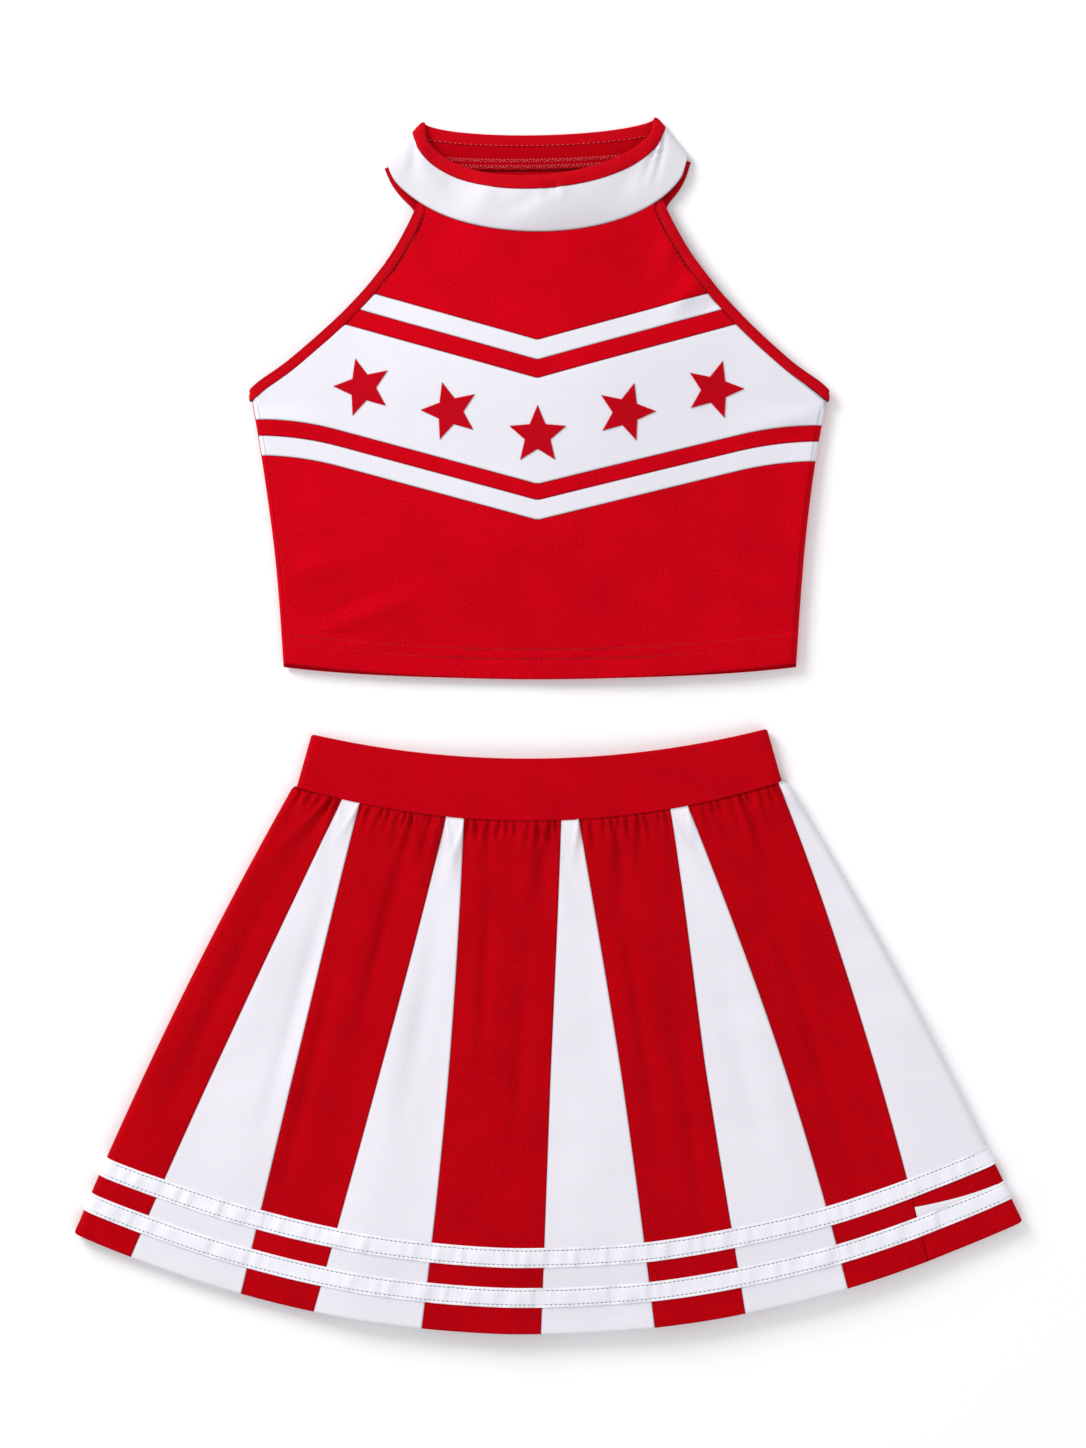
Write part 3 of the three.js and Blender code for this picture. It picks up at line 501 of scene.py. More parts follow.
# %% The top's pattern
GAP = 0.3 * mm
CLOTH = 1.0 * mm
LAY_GAP = 57 * mm  # from the top's hem to the skirt
HEM_HALF, CHEST_HALF = 179 * mm, 204.5 * mm
UNDERARM_Y = 202 * mm
NECK_HALF, NECK_Y = 89.5 * mm, 331 * mm
COLLAR_BOTTOM_HALF, COLLAR_TOP_HALF = 106 * mm, 82.5 * mm
COLLAR_TIP_Y, COLLAR_CORNER_Y = 367.4 * mm, 394.3 * mm
HEM_RISE, BACK_HEM_DROP = 11 * mm, 2.5 * mm
SIDE_FOLD, BODY_DOME = 5 * mm, 10 * mm
ARM_BINDING, BINDING_THICK = 7.5 * mm, 2.6 * mm
COLLAR_FRONT_DIP, COLLAR_BACK_DIP = 54.8 * mm, 9.5 * mm
OPENING_FRONT_DIP, OPENING_BACK_DIP = 42.3 * mm, 12 * mm
COLLAR_FOLD, COLLAR_LIFT, COLLAR_DOME, OPENING_DOME = 4.5 * mm, GAP, 7 * mm, 9 * mm
low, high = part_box("front_lower_panel")
TOP_X = (low[0] + high[0]) / 2
TOP_Y = low[1] - GAP / 2
print("top's origin", round(TOP_X, 4), round(TOP_Y, 4))


def side_half(y):
    up = np.clip(y / UNDERARM_Y, 0, 1)
    return lerp(HEM_HALF, CHEST_HALF, 0.55 * up + 0.45 * up * up)


def front_hem_y(x):
    return HEM_RISE - arc_drop(x, HEM_HALF, HEM_RISE)


def back_hem_y(x):
    return front_hem_y(x) - BACK_HEM_DROP * ease(np.abs(x), 40 * mm, HEM_HALF)


FRONT_ARMHOLE = [(CHEST_HALF, UNDERARM_Y), (0.574 * CHEST_HALF, UNDERARM_Y + 65 * mm), (NECK_HALF, NECK_Y)]
# The back is cut in deeper. Its edge hides behind the front's as far as the collar, then follows the collar.
BACK_ARMHOLE = [(CHEST_HALF, UNDERARM_Y), (163 * mm, 232 * mm), (121 * mm, 270 * mm), (95 * mm, 303 * mm),
                (89.6 * mm, 328 * mm), (97.8 * mm, 339 * mm), (103.8 * mm, 349 * mm), (107.6 * mm, 361 * mm)]


def smooth_line(points, per_span=16):
    """A curve through all the points, as a list of closely spaced points."""
    p = np.array(points)
    p = np.concatenate([2 * p[:1] - p[1:2], p, 2 * p[-1:] - p[-2:-1]])
    t = np.linspace(0, 1, per_span, endpoint=False)[:, None]
    spans = []
    for a, b, c, d in zip(p[:-3], p[1:-2], p[2:-1], p[3:]):
        spans.append(b + 0.5 * t * (c - a + t * (2 * a - 5 * b + 4 * c - d + t * (3 * (b - c) + d - a))))
    return np.concatenate(spans + [p[-2:-1]])


BACK_LINE = smooth_line(BACK_ARMHOLE)


def armhole_point(curve, t, inset):
    """A point of an armhole's edge, moved in by the inset. t runs from the underarm, 0, to the neck, 1."""
    t = np.atleast_1d(t)[:, None]
    if curve is BACK_LINE:
        place = t[:, 0] * (len(curve) - 1)
        steps = range(len(curve))
        at, along = read_at(place, steps, curve), read_at(place, steps, np.gradient(curve, axis=0))
    else:
        p0, p1, p2 = (np.array(p) for p in curve)
        at = (1 - t) ** 2 * p0 + 2 * t * (1 - t) * p1 + t * t * p2
        along = 2 * (1 - t) * (p1 - p0) + 2 * t * (p2 - p1)
    along = unit(along)
    return at + inset * np.stack([-along[:, 1], along[:, 0]], axis=1)


def limit_of(curve, inset):
    """The cloth's half width at a height: the side seam up to the underarm, the armhole above it."""
    line = armhole_point(curve, np.linspace(0, 1, 240), inset)
    line = line[np.argsort(line[:, 1])]
    side_top = UNDERARM_Y - ARM_BINDING
    corner = side_half(side_top)

    def limit(y):
        hole = np.minimum(np.interp(y, line[:, 1], line[:, 0]), corner)
        return np.where(y <= side_top, side_half(y), np.where(y < line[0, 1], corner, hole))

    return limit


UNDER_THE_BINDING = 1.0 * mm  # how far the panels go in under the armholes' bindings
front_limit = limit_of(FRONT_ARMHOLE, ARM_BINDING - UNDER_THE_BINDING)
back_limit = limit_of(BACK_LINE, ARM_BINDING - UNDER_THE_BINDING)

# %% [markdown]
# Laid cloth is never quite flat. Broad swells come from the layers beneath, and short drag lines run in from
# the armholes, where the binding holds the knit tighter than it wants to lie. A drag line is a long low ridge
# that starts at a point, widens and fades. One height field carries them all, and every piece of the front
# reads it, so the swells run on unbroken across the seams.

# %% How the front of the top lies
def ridges(x, y, table, strength):
    """Long soft ridges (or with a negative rise, furrows) that widen and fade along their headings."""
    height = 0
    for start_x, start_y, heading, length, width, rise in table:
        c, s = math.cos(math.radians(heading)), math.sin(math.radians(heading))
        past_x, past_y = x - start_x * mm, y - start_y * mm
        along = (past_x * c + past_y * s) / (length * mm)
        across = past_y * c - past_x * s
        spread = width * mm * (1 + 1.2 * np.clip(along, 0, 1))
        fade = ease(along, -0.1, 0.15) * (1 - ease(along, 0.25, 1))
        height = height + strength * rise * mm * bell(across, spread) * fade
    return height


TOP_RIDGES = [  # where each starts, its heading in degrees, length, width and rise; lengths in mm
    (128, 285, 215, 60, 3.5, 0.8), (136, 276, 222, 48, 3.0, -0.6), (118, 296, 240, 70, 4.0, 0.7),
    (-126, 287, 325, 62, 3.6, 0.7), (-150, 262, 318, 54, 3.2, -0.5), (100, 322, 250, 66, 4.5, 0.8),
    (-98, 322, 292, 66, 4.5, 0.8), (196, 186, 190, 70, 5.0, 0.9), (-196, 184, 352, 76, 5.5, 0.9),
    (176, 60, 165, 90, 7.0, 0.7), (-176, 74, 12, 96, 7.0, 0.7), (-152, 34, 20, 84, 4.5, 0.9),
    (-144, 48, 21, 76, 4.0, -0.6),
]


def top_swell(x, y):
    swell = 1.6 * mm * soft_noise(x, y, 80 * mm, 11) + 0.5 * mm * soft_noise(x, y, 30 * mm, 12)
    return swell + ridges(x, y, TOP_RIDGES, 2.6)


def up_the_armhole(y):
    return ease(y, UNDERARM_Y - 10 * mm, NECK_Y)


def fold_turn(x, y):
    start = side_half(y) - SIDE_FOLD + 40 * mm * ease(y, UNDERARM_Y - ARM_BINDING, UNDERARM_Y + 8 * mm)
    sine = np.clip((np.abs(x) - start) / SIDE_FOLD, 0, 1)
    return np.sign(x) * sine, np.sqrt(1 - sine * sine)


HEM_SETTLE = 13 * mm  # the front's hem sinks back towards the layer below
HEM_SETTLE_UP = 110 * mm
NECK_TURN, SKIRT_TURN = 0.02, 0.012  # hands do not lay a garment down quite square


def placed(x, y, z):
    """A point of either garment, moved the way that it was laid down, with its sides drawn in or let out."""
    half = np.interp(y, [0, UNDERARM_Y, NECK_Y], [HEM_HALF, CHEST_HALF, NECK_HALF])
    above_hem = ease(y, 0, 100 * mm)
    waisted = 3.2 * mm * hump(y - 285 * mm, 72 * mm)
    left = 1.4 * mm + 1.6 * mm * above_hem + waisted - 3 * mm * ease(y, 335 * mm, 365 * mm)
    right = 1.8 * mm * (1 - above_hem) - 1.2 * mm * hump(y - 150 * mm, 90 * mm)
    side = np.where(x < 0, left, right)
    on_top = np.where(y > -LAY_GAP / 2, 1, 0)
    moved = on_top * side * np.minimum(np.abs(x) / half, 1)
    turned = x * np.where(on_top > 0, NECK_TURN * ease(y, 290 * mm, 355 * mm), SKIRT_TURN)
    return np.stack([x + moved + TOP_X, y + turned + TOP_Y, z], axis=-1)


def front_face(x, y, deep=0.0, raised=0.0):
    turn, level = fold_turn(x, y)
    up = up_the_armhole(y)
    side = lerp(SIDE_FOLD, COLLAR_LIFT + 2 * COLLAR_FOLD - SIDE_FOLD, up)
    half = lerp(side_half(y) - SIDE_FOLD, COLLAR_BOTTOM_HALF - COLLAR_FOLD, up)
    settled = HEM_SETTLE * (1 - ease(y, 0, HEM_SETTLE_UP)) * hump(x, half)
    dome = lerp(BODY_DOME, COLLAR_DOME, up) * hump(x, half) - settled
    swell = top_swell(x, y) * level * ease(level, 0, 1)
    z = side + (SIDE_FOLD - deep) * level + dome + swell + raised * level
    return placed(x - deep * turn, y, z)


def back_face(x, y, deep=0.0, raised=0.0):
    turn, level = fold_turn(x, y)
    lift = COLLAR_LIFT * ease(y, NECK_Y - 15 * mm, NECK_Y + 15 * mm)
    z = SIDE_FOLD - (SIDE_FOLD - deep - raised) * level + lift * level
    return placed(x - deep * turn, y, z)


# %% [markdown]
# A body panel runs from side to side between two curves. Each row finds where its curve meets the side seam
# or the armhole, and the columns are spread to that point, closer together round the side fold. Near a sewn
# edge the outer face rolls down, which makes the fine groove of a seam where two panels meet. The hem is the
# lower panel turned up inside, so it stands slightly proud up to its stitching, and the two stitch rows pull
# the cloth down in two more grooves.

# %% Body panels
ROLL = 0.55 * mm  # how far an edge rolls down into its seam
ROLL_WIDTH = 1.3 * mm
SEAM_WIDTH = 2.2 * mm  # how far in the seam's shade reaches
SIDE_SEAM_IN = 3.2 * mm  # from the side fold to the seam that joins front and back
BINDING_OVER = 1.2 * mm  # how far the armhole's binding lies over a panel's edge


def rolled(distance):
    return ROLL * np.clip(1 - distance / ROLL_WIDTH, 0, 1) ** 2


def seam_value(distance):
    return np.clip(1 - distance / SEAM_WIDTH, 0, 1)


HEM_STITCHES = (14 * mm, 21 * mm)  # above the hem's edge
HEM_PROUD = 0.35 * mm  # the turned hem stands this much above the panel
GROOVE, GROOVE_WIDTH, SIDE_SEAM_WIDTH = 0.45 * mm, 0.7 * mm, 0.8 * mm
SIDE_COLUMNS = np.array([0.3, 0.8, 1.6, 2.4, 2.9, 3.2, 3.6, 4.2, 5.2]) * mm / CHEST_HALF
HAIR = 0.05 * mm  # between two panels that share a seam
STEP = 3.2 * mm


def body_panel(name, lower, upper, material, front=True, hemmed=False):
    """A panel of the body between two curves, on its front or its back, with a turned hem or none."""
    face, limit = (front_face, front_limit) if front else (back_face, back_limit)
    stitch_rows = HEM_STITCHES if hemmed else ()
    centre = float(upper(0.0) - lower(0.0))
    rows = spaced(centre, STEP, fine=stitch_rows) / centre
    even = np.linspace(-1, 1, int(2 * CHEST_HALF / STEP) + 1)
    shares = np.unique(np.round(np.concatenate([even, SIDE_COLUMNS - 1, 1 - SIDE_COLUMNS]), 6))
    ends = np.full(len(rows), NECK_HALF)
    for _ in range(60):  # closes in on the place where each row's curve meets the side
        ends = 0.5 * ends + 0.5 * limit(lerp(lower(ends), upper(ends), rows))
    x = ends[:, None] * shares
    y = lerp(lower(x) + HAIR, upper(x) - HAIR, rows[:, None])
    from_low, from_high = y - lower(x), upper(x) - y
    from_side = ends[:, None] - np.abs(x)
    above = y[:, :1] > UNDERARM_Y - ARM_BINDING
    from_binding = np.where(above, np.maximum(from_side - BINDING_OVER, 0), np.inf)
    stitched = sum(bell(from_low - up, GROOVE_WIDTH) for up in stitch_rows)
    side_seam = np.where(above, 0, bell(from_side - SIDE_SEAM_IN, SIDE_SEAM_WIDTH))
    raised = -GROOVE * (stitched + side_seam) - rolled(from_high) - rolled(from_binding)
    nearest = np.minimum(from_high, from_binding)
    if hemmed:
        turned = 1 - ease(from_low, HEM_STITCHES[1] - 1 * mm, HEM_STITCHES[1] + 1 * mm)
        raised = raised + HEM_PROUD * turned - 1.6 * rolled(from_low)
    else:
        raised = raised - rolled(from_low)
        nearest = np.minimum(nearest, from_low)
    outer = face(x, y, 0.0, raised if front else -raised)
    # The seam value paints shade into the seams, the side seam and the hem's stitch grooves.
    shade = np.maximum(np.maximum(seam_value(nearest), 0.95 * side_seam), 0.8 * stitched)
    return make_cloth(name, outer, face(x, y, CLOTH), material, grain_of(x, y), shade)


CHEVRON_SLOPE = 0.28
SLACK = 0.034  # the lower chevrons' right arms lie a little flatter
CHEVRON_EASE_FROM, CHEVRON_EASE = 140 * mm, 60 * mm


def chevron(centre):
    """A V of two straight arms that level off towards the sides."""
    def line(x):
        past = np.maximum(0, np.abs(x) - CHEVRON_EASE_FROM)
        slack = SLACK * np.where(x > 0, 1, 0.3) * (1 - ease(centre, 140 * mm, 220 * mm))
        return centre + (CHEVRON_SLOPE - slack) * (np.abs(x) - past * past / (2 * CHEVRON_EASE))
    return line


CORNER_EASE = 0.998  # the collar's edges do not turn quite upright at the folds


def collar_seam_y(x):
    bow = np.sqrt(np.maximum(0, 1 - (CORNER_EASE * x / COLLAR_BOTTOM_HALF) ** 2))
    return COLLAR_TIP_Y - COLLAR_FRONT_DIP * bow


def collar_back_seam_y(x):
    return COLLAR_TIP_Y - COLLAR_BACK_DIP * np.sqrt(np.maximum(0, 1 - (x / COLLAR_BOTTOM_HALF) ** 2))


STRIPES = np.cumsum([111, 13.8, 11.3, 73.8, 13.0, 13.8]) * mm  # each seam's height on the centre line
front_lines = [front_hem_y] + [chevron(height) for height in STRIPES] + [collar_seam_y]
chest, high_red, yoke = front_lines[3], front_lines[4], front_lines[6]
FRONT_PIECES = [("front_lower_panel", "front_lower_cloth"), ("lower_white_chevron", "lower_white_stripe"),
                ("lower_red_chevron", "lower_red_stripe"), ("chest_band", "chest_cloth"),
                ("upper_red_chevron", "upper_red_stripe"), ("upper_white_chevron", "upper_white_stripe"),
                ("front_yoke", "yoke_cloth")]
top_pieces = {}
for k, (node_name, cloth_name) in enumerate(FRONT_PIECES):
    lower, upper = front_lines[k : k + 2]
    fabric = white_knit if k % 2 else red_knit
    top_pieces[node_name] = body_panel(cloth_name, lower, upper, fabric, hemmed=k == 0)
top_pieces["back_panel"] = body_panel("back_cloth", back_hem_y, collar_back_seam_y, red_knit,
                                      front=False, hemmed=True)
for node_name, piece in top_pieces.items():
    settle(piece, "crop_top", [node_name])

# %% [markdown]
# The collar, the waistband and the skirt are tubes laid flat: a front, a soft fold at each side and a back
# underneath. A place on such a tube is a share of the flat half width, how far it has turned out round the
# fold, how much of the thickness it still has, and whether it faces up. One function then serves all three.

# %% A tube laid flat
FOLD_STEPS = 5
FOLD_ANGLES = np.linspace(0, math.pi / 2, FOLD_STEPS + 1)


def fold_places(side, face, angles):
    return [(side, side * math.cos(a), math.sin(a), face) for a in angles]


def ring_places(front, back):
    """Places all round: the left fold, the front, the right fold, and the back from right to left."""
    up, down = FOLD_ANGLES, FOLD_ANGLES[::-1]
    places = fold_places(-1, 1, up[:-1]) + [(s, 0, 1, 1) for s in front] + fold_places(1, 1, down[1:])
    places += fold_places(1, -1, up[1:-1]) + [(s, 0, 1, -1) for s in back[::-1]]
    places += fold_places(-1, -1, down[1:-1])
    return np.array(places, float).T


def flat_tube(place, half, fold, dome, deep):
    share, out, rise, face = place
    flat = half - fold
    radius = np.maximum(fold - deep, 0.05 * mm)
    x = share * flat + out * radius
    z = fold + face * rise * radius + np.where(face > 0, dome * hump(share * flat, flat), 0)
    return x, z


# %% [markdown]
# The collar is three layers: a white shell, a thin stiffening felt, and a red lining that shows through the
# neck opening. They hang together inside one red binding. The white shell shows a few soft creases, two sharp
# ones at the right where the collar was folded for packing, and small dents under the binding's stitches.

# %% The collar's shape
COLLAR_SHELL, INTERFACING, COLLAR_LINING = 0.9 * mm, 0.4 * mm, 0.8 * mm
COLLAR_HEIGHT = COLLAR_CORNER_Y - COLLAR_TIP_Y + 10 * mm
BINDING_FROM = 1 - 9.5 * mm / COLLAR_HEIGHT
LINING_DEEP = COLLAR_SHELL + INTERFACING + 2 * GAP
STACK = LINING_DEEP + COLLAR_LINING
COLLAR_CROWN = 4.4 * mm  # the front of the collar bellies out between its two edges
COLLAR_LEAN = 1.3 * mm  # the opening lies this much to the right of the collar's seam
NECK_SKEW = 8 * mm  # the opening's front edge hangs lowest to the left of the middle
COLLAR_RIDGES = [  # as for the front of the top
    (-88, 381, 273, 34, 2.0, -0.9), (-83, 376, 282, 46, 4.5, 0.9), (-66, 352, 316, 44, 6.0, -0.7),
    (-34, 346, 232, 46, 7.0, 0.9), (0, 338, 205, 40, 4.0, -0.6), (89, 382, 257, 46, 1.6, -1.1),
    (86, 376, 254, 38, 1.5, 0.6), (83, 374, 250, 38, 1.5, -0.9), (70, 358, 232, 40, 5.0, -0.6),
    (6, 346, 266, 13, 1.5, -0.7), (11, 346, 270, 12, 1.5, -0.7), (15, 347, 280, 16, 2.5, 0.5),
]


def collar_at(place, up, deep, raised=0.0):
    share, out, rise, face = place
    half = lerp(COLLAR_BOTTOM_HALF, COLLAR_TOP_HALF, up)
    outer_x = share * (half - COLLAR_FOLD) + out * COLLAR_FOLD
    skewed = outer_x + NECK_SKEW * up * (1 - (outer_x / half) ** 2) * np.where(face > 0, rise, 0)
    bow = np.sqrt(np.maximum(0, 1 - (CORNER_EASE * skewed / half) ** 2))
    front_dip = lerp(COLLAR_FRONT_DIP, OPENING_FRONT_DIP, up)
    back_dip = lerp(COLLAR_BACK_DIP, OPENING_BACK_DIP, up)
    dip = lerp(back_dip, front_dip, 0.5 + 0.5 * face * rise)
    y = lerp(COLLAR_TIP_Y, COLLAR_CORNER_Y, up) - dip * bow
    swell = top_swell(outer_x, y) * (1 - ease(up, 0.1, 0.8)) + 0.5 * mm * soft_noise(outer_x, y, 30 * mm, 21)
    swell = swell + ridges(outer_x, y, COLLAR_RIDGES, 2.4)
    swell = swell + COLLAR_CROWN * np.sin(math.pi * np.clip(up, 0, 1)) ** 0.8 * hump(outer_x, half * 1.1)
    lifted = np.where(face > 0, swell * rise * rise, 0) + raised
    x, z = flat_tube(place, half, COLLAR_FOLD, lerp(COLLAR_DOME, OPENING_DOME, up), deep - lifted)
    return placed(x + COLLAR_LEAN * up, y + 0 * x, COLLAR_LIFT + z)


FRONT_COLUMNS = 100
NEARLY_UPRIGHT = math.radians(82)
bent = np.sin(np.linspace(-1, 1, FRONT_COLUMNS) * NEARLY_UPRIGHT) / math.sin(NEARLY_UPRIGHT)
collar_ring = ring_places(bent, bent[::2])


UNDER_BINDING = BINDING_FROM + 2.5 * mm / COLLAR_HEIGHT  # how far up the layers go


def collar_layer(name, start, thick, material, roll=0.0):
    """One layer of the collar, from its depth below the face, with its edges rolled down by a share."""
    rise = COLLAR_HEIGHT * UNDER_BINDING
    marks = spaced(rise, 2.5 * mm)
    up = (marks / COLLAR_HEIGHT)[:, None]
    raised = -roll * (rolled(marks) + rolled(rise - marks))[:, None]
    outer = collar_at(collar_ring, up, start, raised)
    inner = collar_at(collar_ring, up, start + thick)
    # The seam value paints shade along the layer's edges.
    seam = np.broadcast_to(seam_value(marks)[:, None], outer.shape[:2])
    around = np.linspace(0, 4 * COLLAR_BOTTOM_HALF, outer.shape[1])
    return make_cloth(name, outer, inner, material, grain_of(around, marks[:, None]), seam, ring=True)


shell = collar_layer("collar_shell_cloth", 0, COLLAR_SHELL, collar_knit, roll=0.9)
settle(shell, "crop_top", ["collar_shell"])
stiffener = collar_layer("collar_stiffening_felt", COLLAR_SHELL + GAP, INTERFACING, felt)
settle(stiffener, "crop_top", ["collar_interfacing"])
lining = collar_layer("collar_lining_cloth", LINING_DEEP, COLLAR_LINING, lining_knit)
settle(lining, "crop_top", ["collar_lining"])

# %% [markdown]
# The neck's binding is one strip folded over the layers' upper edges: up the outside, round the edge and down
# the inside. Its rows follow that section. A strip stretched round a curve ripples slightly between stitches,
# so the outside leg is crowned, and its crown wavers a little along the way.

# %% The binding round the neck
BINDING_CLOTH = 0.6 * mm
BINDING_PROUD = 0.3 * mm
TURN = (STACK + 2 * BINDING_PROUD) / 2
TOP_UP = 1 - TURN / COLLAR_HEIGHT
BINDING_CROWN, BINDING_WAVER = 0.35 * mm, 9 * mm
INSIDE_LEG = 2.5 * mm  # at the back the binding's inner leg reaches this much further down
section = np.concatenate([np.linspace(0, 1, 9), np.linspace(1, 2, 7)[1:], np.linspace(2, 3, 6)[1:]])
behind = 0.5 - 0.5 * collar_ring[3] * collar_ring[2]


def folded_over(section, radius):
    """A strip folded over an edge. Its section runs up the outside, 0 to 1, round, and down the inside, 2 to 3.

    Gives how far up its leg each row is, how far over the edge it stands, and how far it has turned inwards.
    """
    angle = np.clip(section - 1, 0, 1) * math.pi
    leg = np.minimum(1, np.minimum(section, 3 - section))
    return leg, radius * np.sin(angle), -radius * np.cos(angle)


def binding_face(depth):
    leg, over, inwards = folded_over(section, TURN - depth * BINDING_CLOTH)
    up = (lerp(BINDING_FROM, TOP_UP, leg) + over / COLLAR_HEIGHT)[:, None]
    longer = np.where(section >= 2, 1 - leg, 0)[:, None] * behind
    waver = 1 + 0.5 * soft_noise(collar_ring[0] * 86 * mm, collar_ring[3] * 50 * mm, BINDING_WAVER, 31)
    crown = BINDING_CROWN * np.sin(math.pi * np.clip(section, 0, 1))[:, None] * (waver * (1 - behind))
    deep = (TURN - BINDING_PROUD + inwards)[:, None] * np.ones_like(crown)
    return collar_at(collar_ring, up - INSIDE_LEG / COLLAR_HEIGHT * longer, deep, crown)


neck_outer, neck_inner = binding_face(0), binding_face(1)
around = np.linspace(0, 4 * COLLAR_TOP_HALF, neck_outer.shape[1])
# Painted shade along both edges of the binding.
painted_edge_shade = np.clip(1 - section * 5, 0, 1) + np.clip(1 - (3 - section) * 5, 0, 1)
neck = make_cloth("neck_binding_cloth", neck_outer, neck_inner, red_binding,
                  grain_of(around, section[:, None] * 7 * mm),
                  np.broadcast_to(painted_edge_shade[:, None], neck_outer.shape[:2]), ring=True)
settle(neck, "crop_top", ["collar_binding"])

# %% [markdown]
# The armhole's binding is a folded strip too, sewn flat round a curve that crosses from the front to the back
# at the underarm. It is swept along its path with a flattened round section. The section has a shallow groove
# where the stitches hold it to the knit, so that the edge next to the panel reads as a separate bead.

# %% The bindings round the armholes
SIDES = 20
EDGE_GROOVE, GROOVE_AT = 0.8 * mm, -0.62  # how deep, and where across the half width


def binding_band(name, at, normal, across):
    """A band of flattened round section along a path, closed at both ends."""
    half_width, half_thick = ARM_BINDING / 2, BINDING_THICK / 2
    angle = (np.arange(SIDES) + 0.5) / SIDES * 2 * math.pi
    wide = np.clip(1.18 * np.cos(angle), -1, 1)
    high = np.clip(1.18 * np.sin(angle), -0.98, 0.98) * half_thick
    on_top = np.where(high > 0, 1, 0)
    high = high - on_top * EDGE_GROOVE * bell(wide - GROOVE_AT, 0.16)
    points = at[:, None] + across[:, None] * (wide * half_width)[:, None] + normal[:, None] * high[:, None]
    flat = points.reshape(-1, 3)
    ids = np.arange(len(flat)).reshape(-1, SIDES)
    ids = np.concatenate([ids, ids[:, :1]], axis=1)
    walls = np.stack([v.ravel() for v in (ids[:-1, :-1], ids[:-1, 1:], ids[1:, 1:], ids[1:, :-1])], axis=1)
    faces = walls.tolist() + [ids[0, :-1][::-1].tolist(), ids[-1, :-1].tolist()]
    volume = (flat[walls[:, 0]] * np.cross(flat[walls[:, 1]], flat[walls[:, 2]])).sum()
    if volume < 0:
        faces = [f[::-1] for f in faces]
    band = add_mesh(name, flat.tolist(), faces, red_binding, sharp=60)
    run = distance_along(at)
    grain = np.stack(np.broadcast_arrays(run[:, None], wide * half_width, 0.0), -1)
    # Painted shade in the stitch groove and along the band's edges.
    dip = np.maximum(on_top * bell(wide - GROOVE_AT, 0.14), np.clip(np.abs(wide) * 4 - 3, 0, 1))
    carry(band, grain, np.tile(dip, len(at)))
    return band


TIP_OUT = 3 * mm  # the binding stands out past the side seam at the underarm


def armhole_path(side):
    """Where one binding runs: down the front edge, round the underarm and up the back edge."""
    inset, half = ARM_BINDING / 2, CLOTH / 2
    shares = np.linspace(1.045, 0.03, 110)
    front = armhole_point(FRONT_ARMHOLE, shares, inset)
    front[:, 0] += TIP_OUT * (1 - ease(shares, 0.03, 0.16))
    under_collar = ease(front[:, 1], NECK_Y - 3 * mm, NECK_Y + 3 * mm)
    front_at = front_face(side * front[:, 0], front[:, 1], half)
    front_at[:, 2] -= 2.4 * mm * under_collar
    turn_x = side_half(UNDERARM_Y - ARM_BINDING) - SIDE_FOLD + TIP_OUT
    angle = np.radians(np.linspace(70, -70, 13))
    out = np.stack([side * np.cos(angle), 0 * angle, np.sin(angle)], 1)
    reach = (SIDE_FOLD - half) * out
    turn_at = placed(side * turn_x + reach[:, 0], UNDERARM_Y - inset + reach[:, 1], SIDE_FOLD + reach[:, 2])
    back = armhole_point(BACK_LINE, np.linspace(0.03, 1.0, 110), inset)
    back_at = back_face(side * back[:, 0], back[:, 1], half) + np.array([0, 0, BINDING_THICK / 2 - half])
    at = np.concatenate([front_at, turn_at, back_at])
    upward = np.array([0, 0, 1.0])
    normal = np.concatenate([np.tile(upward, (len(front_at), 1)), out, np.tile(-upward, (len(back_at), 1))])
    marks = distance_along(at)
    even = np.linspace(0, marks[-1], 220)
    at, normal = read_at(even, marks, at), read_at(even, marks, normal)
    for _ in range(10):
        for values in (at, normal):
            values[1:-1] = 0.25 * values[:-2] + 0.5 * values[1:-1] + 0.25 * values[2:]
    tangent = unit(np.gradient(at, axis=0))
    across = unit(np.cross(tangent, normal) * side)
    return at, np.cross(across, tangent) * side, across


for side, word in ((-1, "left"), (1, "right")):
    binding = binding_band(f"armhole_{word}_binding_cloth", *armhole_path(side))
    settle(binding, "crop_top", [f"armhole_binding_{word}"])

# %% [markdown]
# The stars are patches of twill, sewn on through the chest band. A patch follows the cloth under it, so its
# points take their height from the same surface as the band. It is a fan of rings from the middle out to the
# star's outline, with the last rings rolled down where the stitches pull the edge in.

# %% The stars
STAR_COUNT = 5
STAR_RADIUS, STAR_INNER = 21 * mm, 9.5 * mm
STAR_PITCH, STAR_DROP, STAR_THICK = 62 * mm, 3 * mm, 0.6 * mm
STAR_RINGS = np.array([0.02, 0.2, 0.4, 0.6, 0.76, 0.86, 0.92, 0.955, 0.98, 1.0])


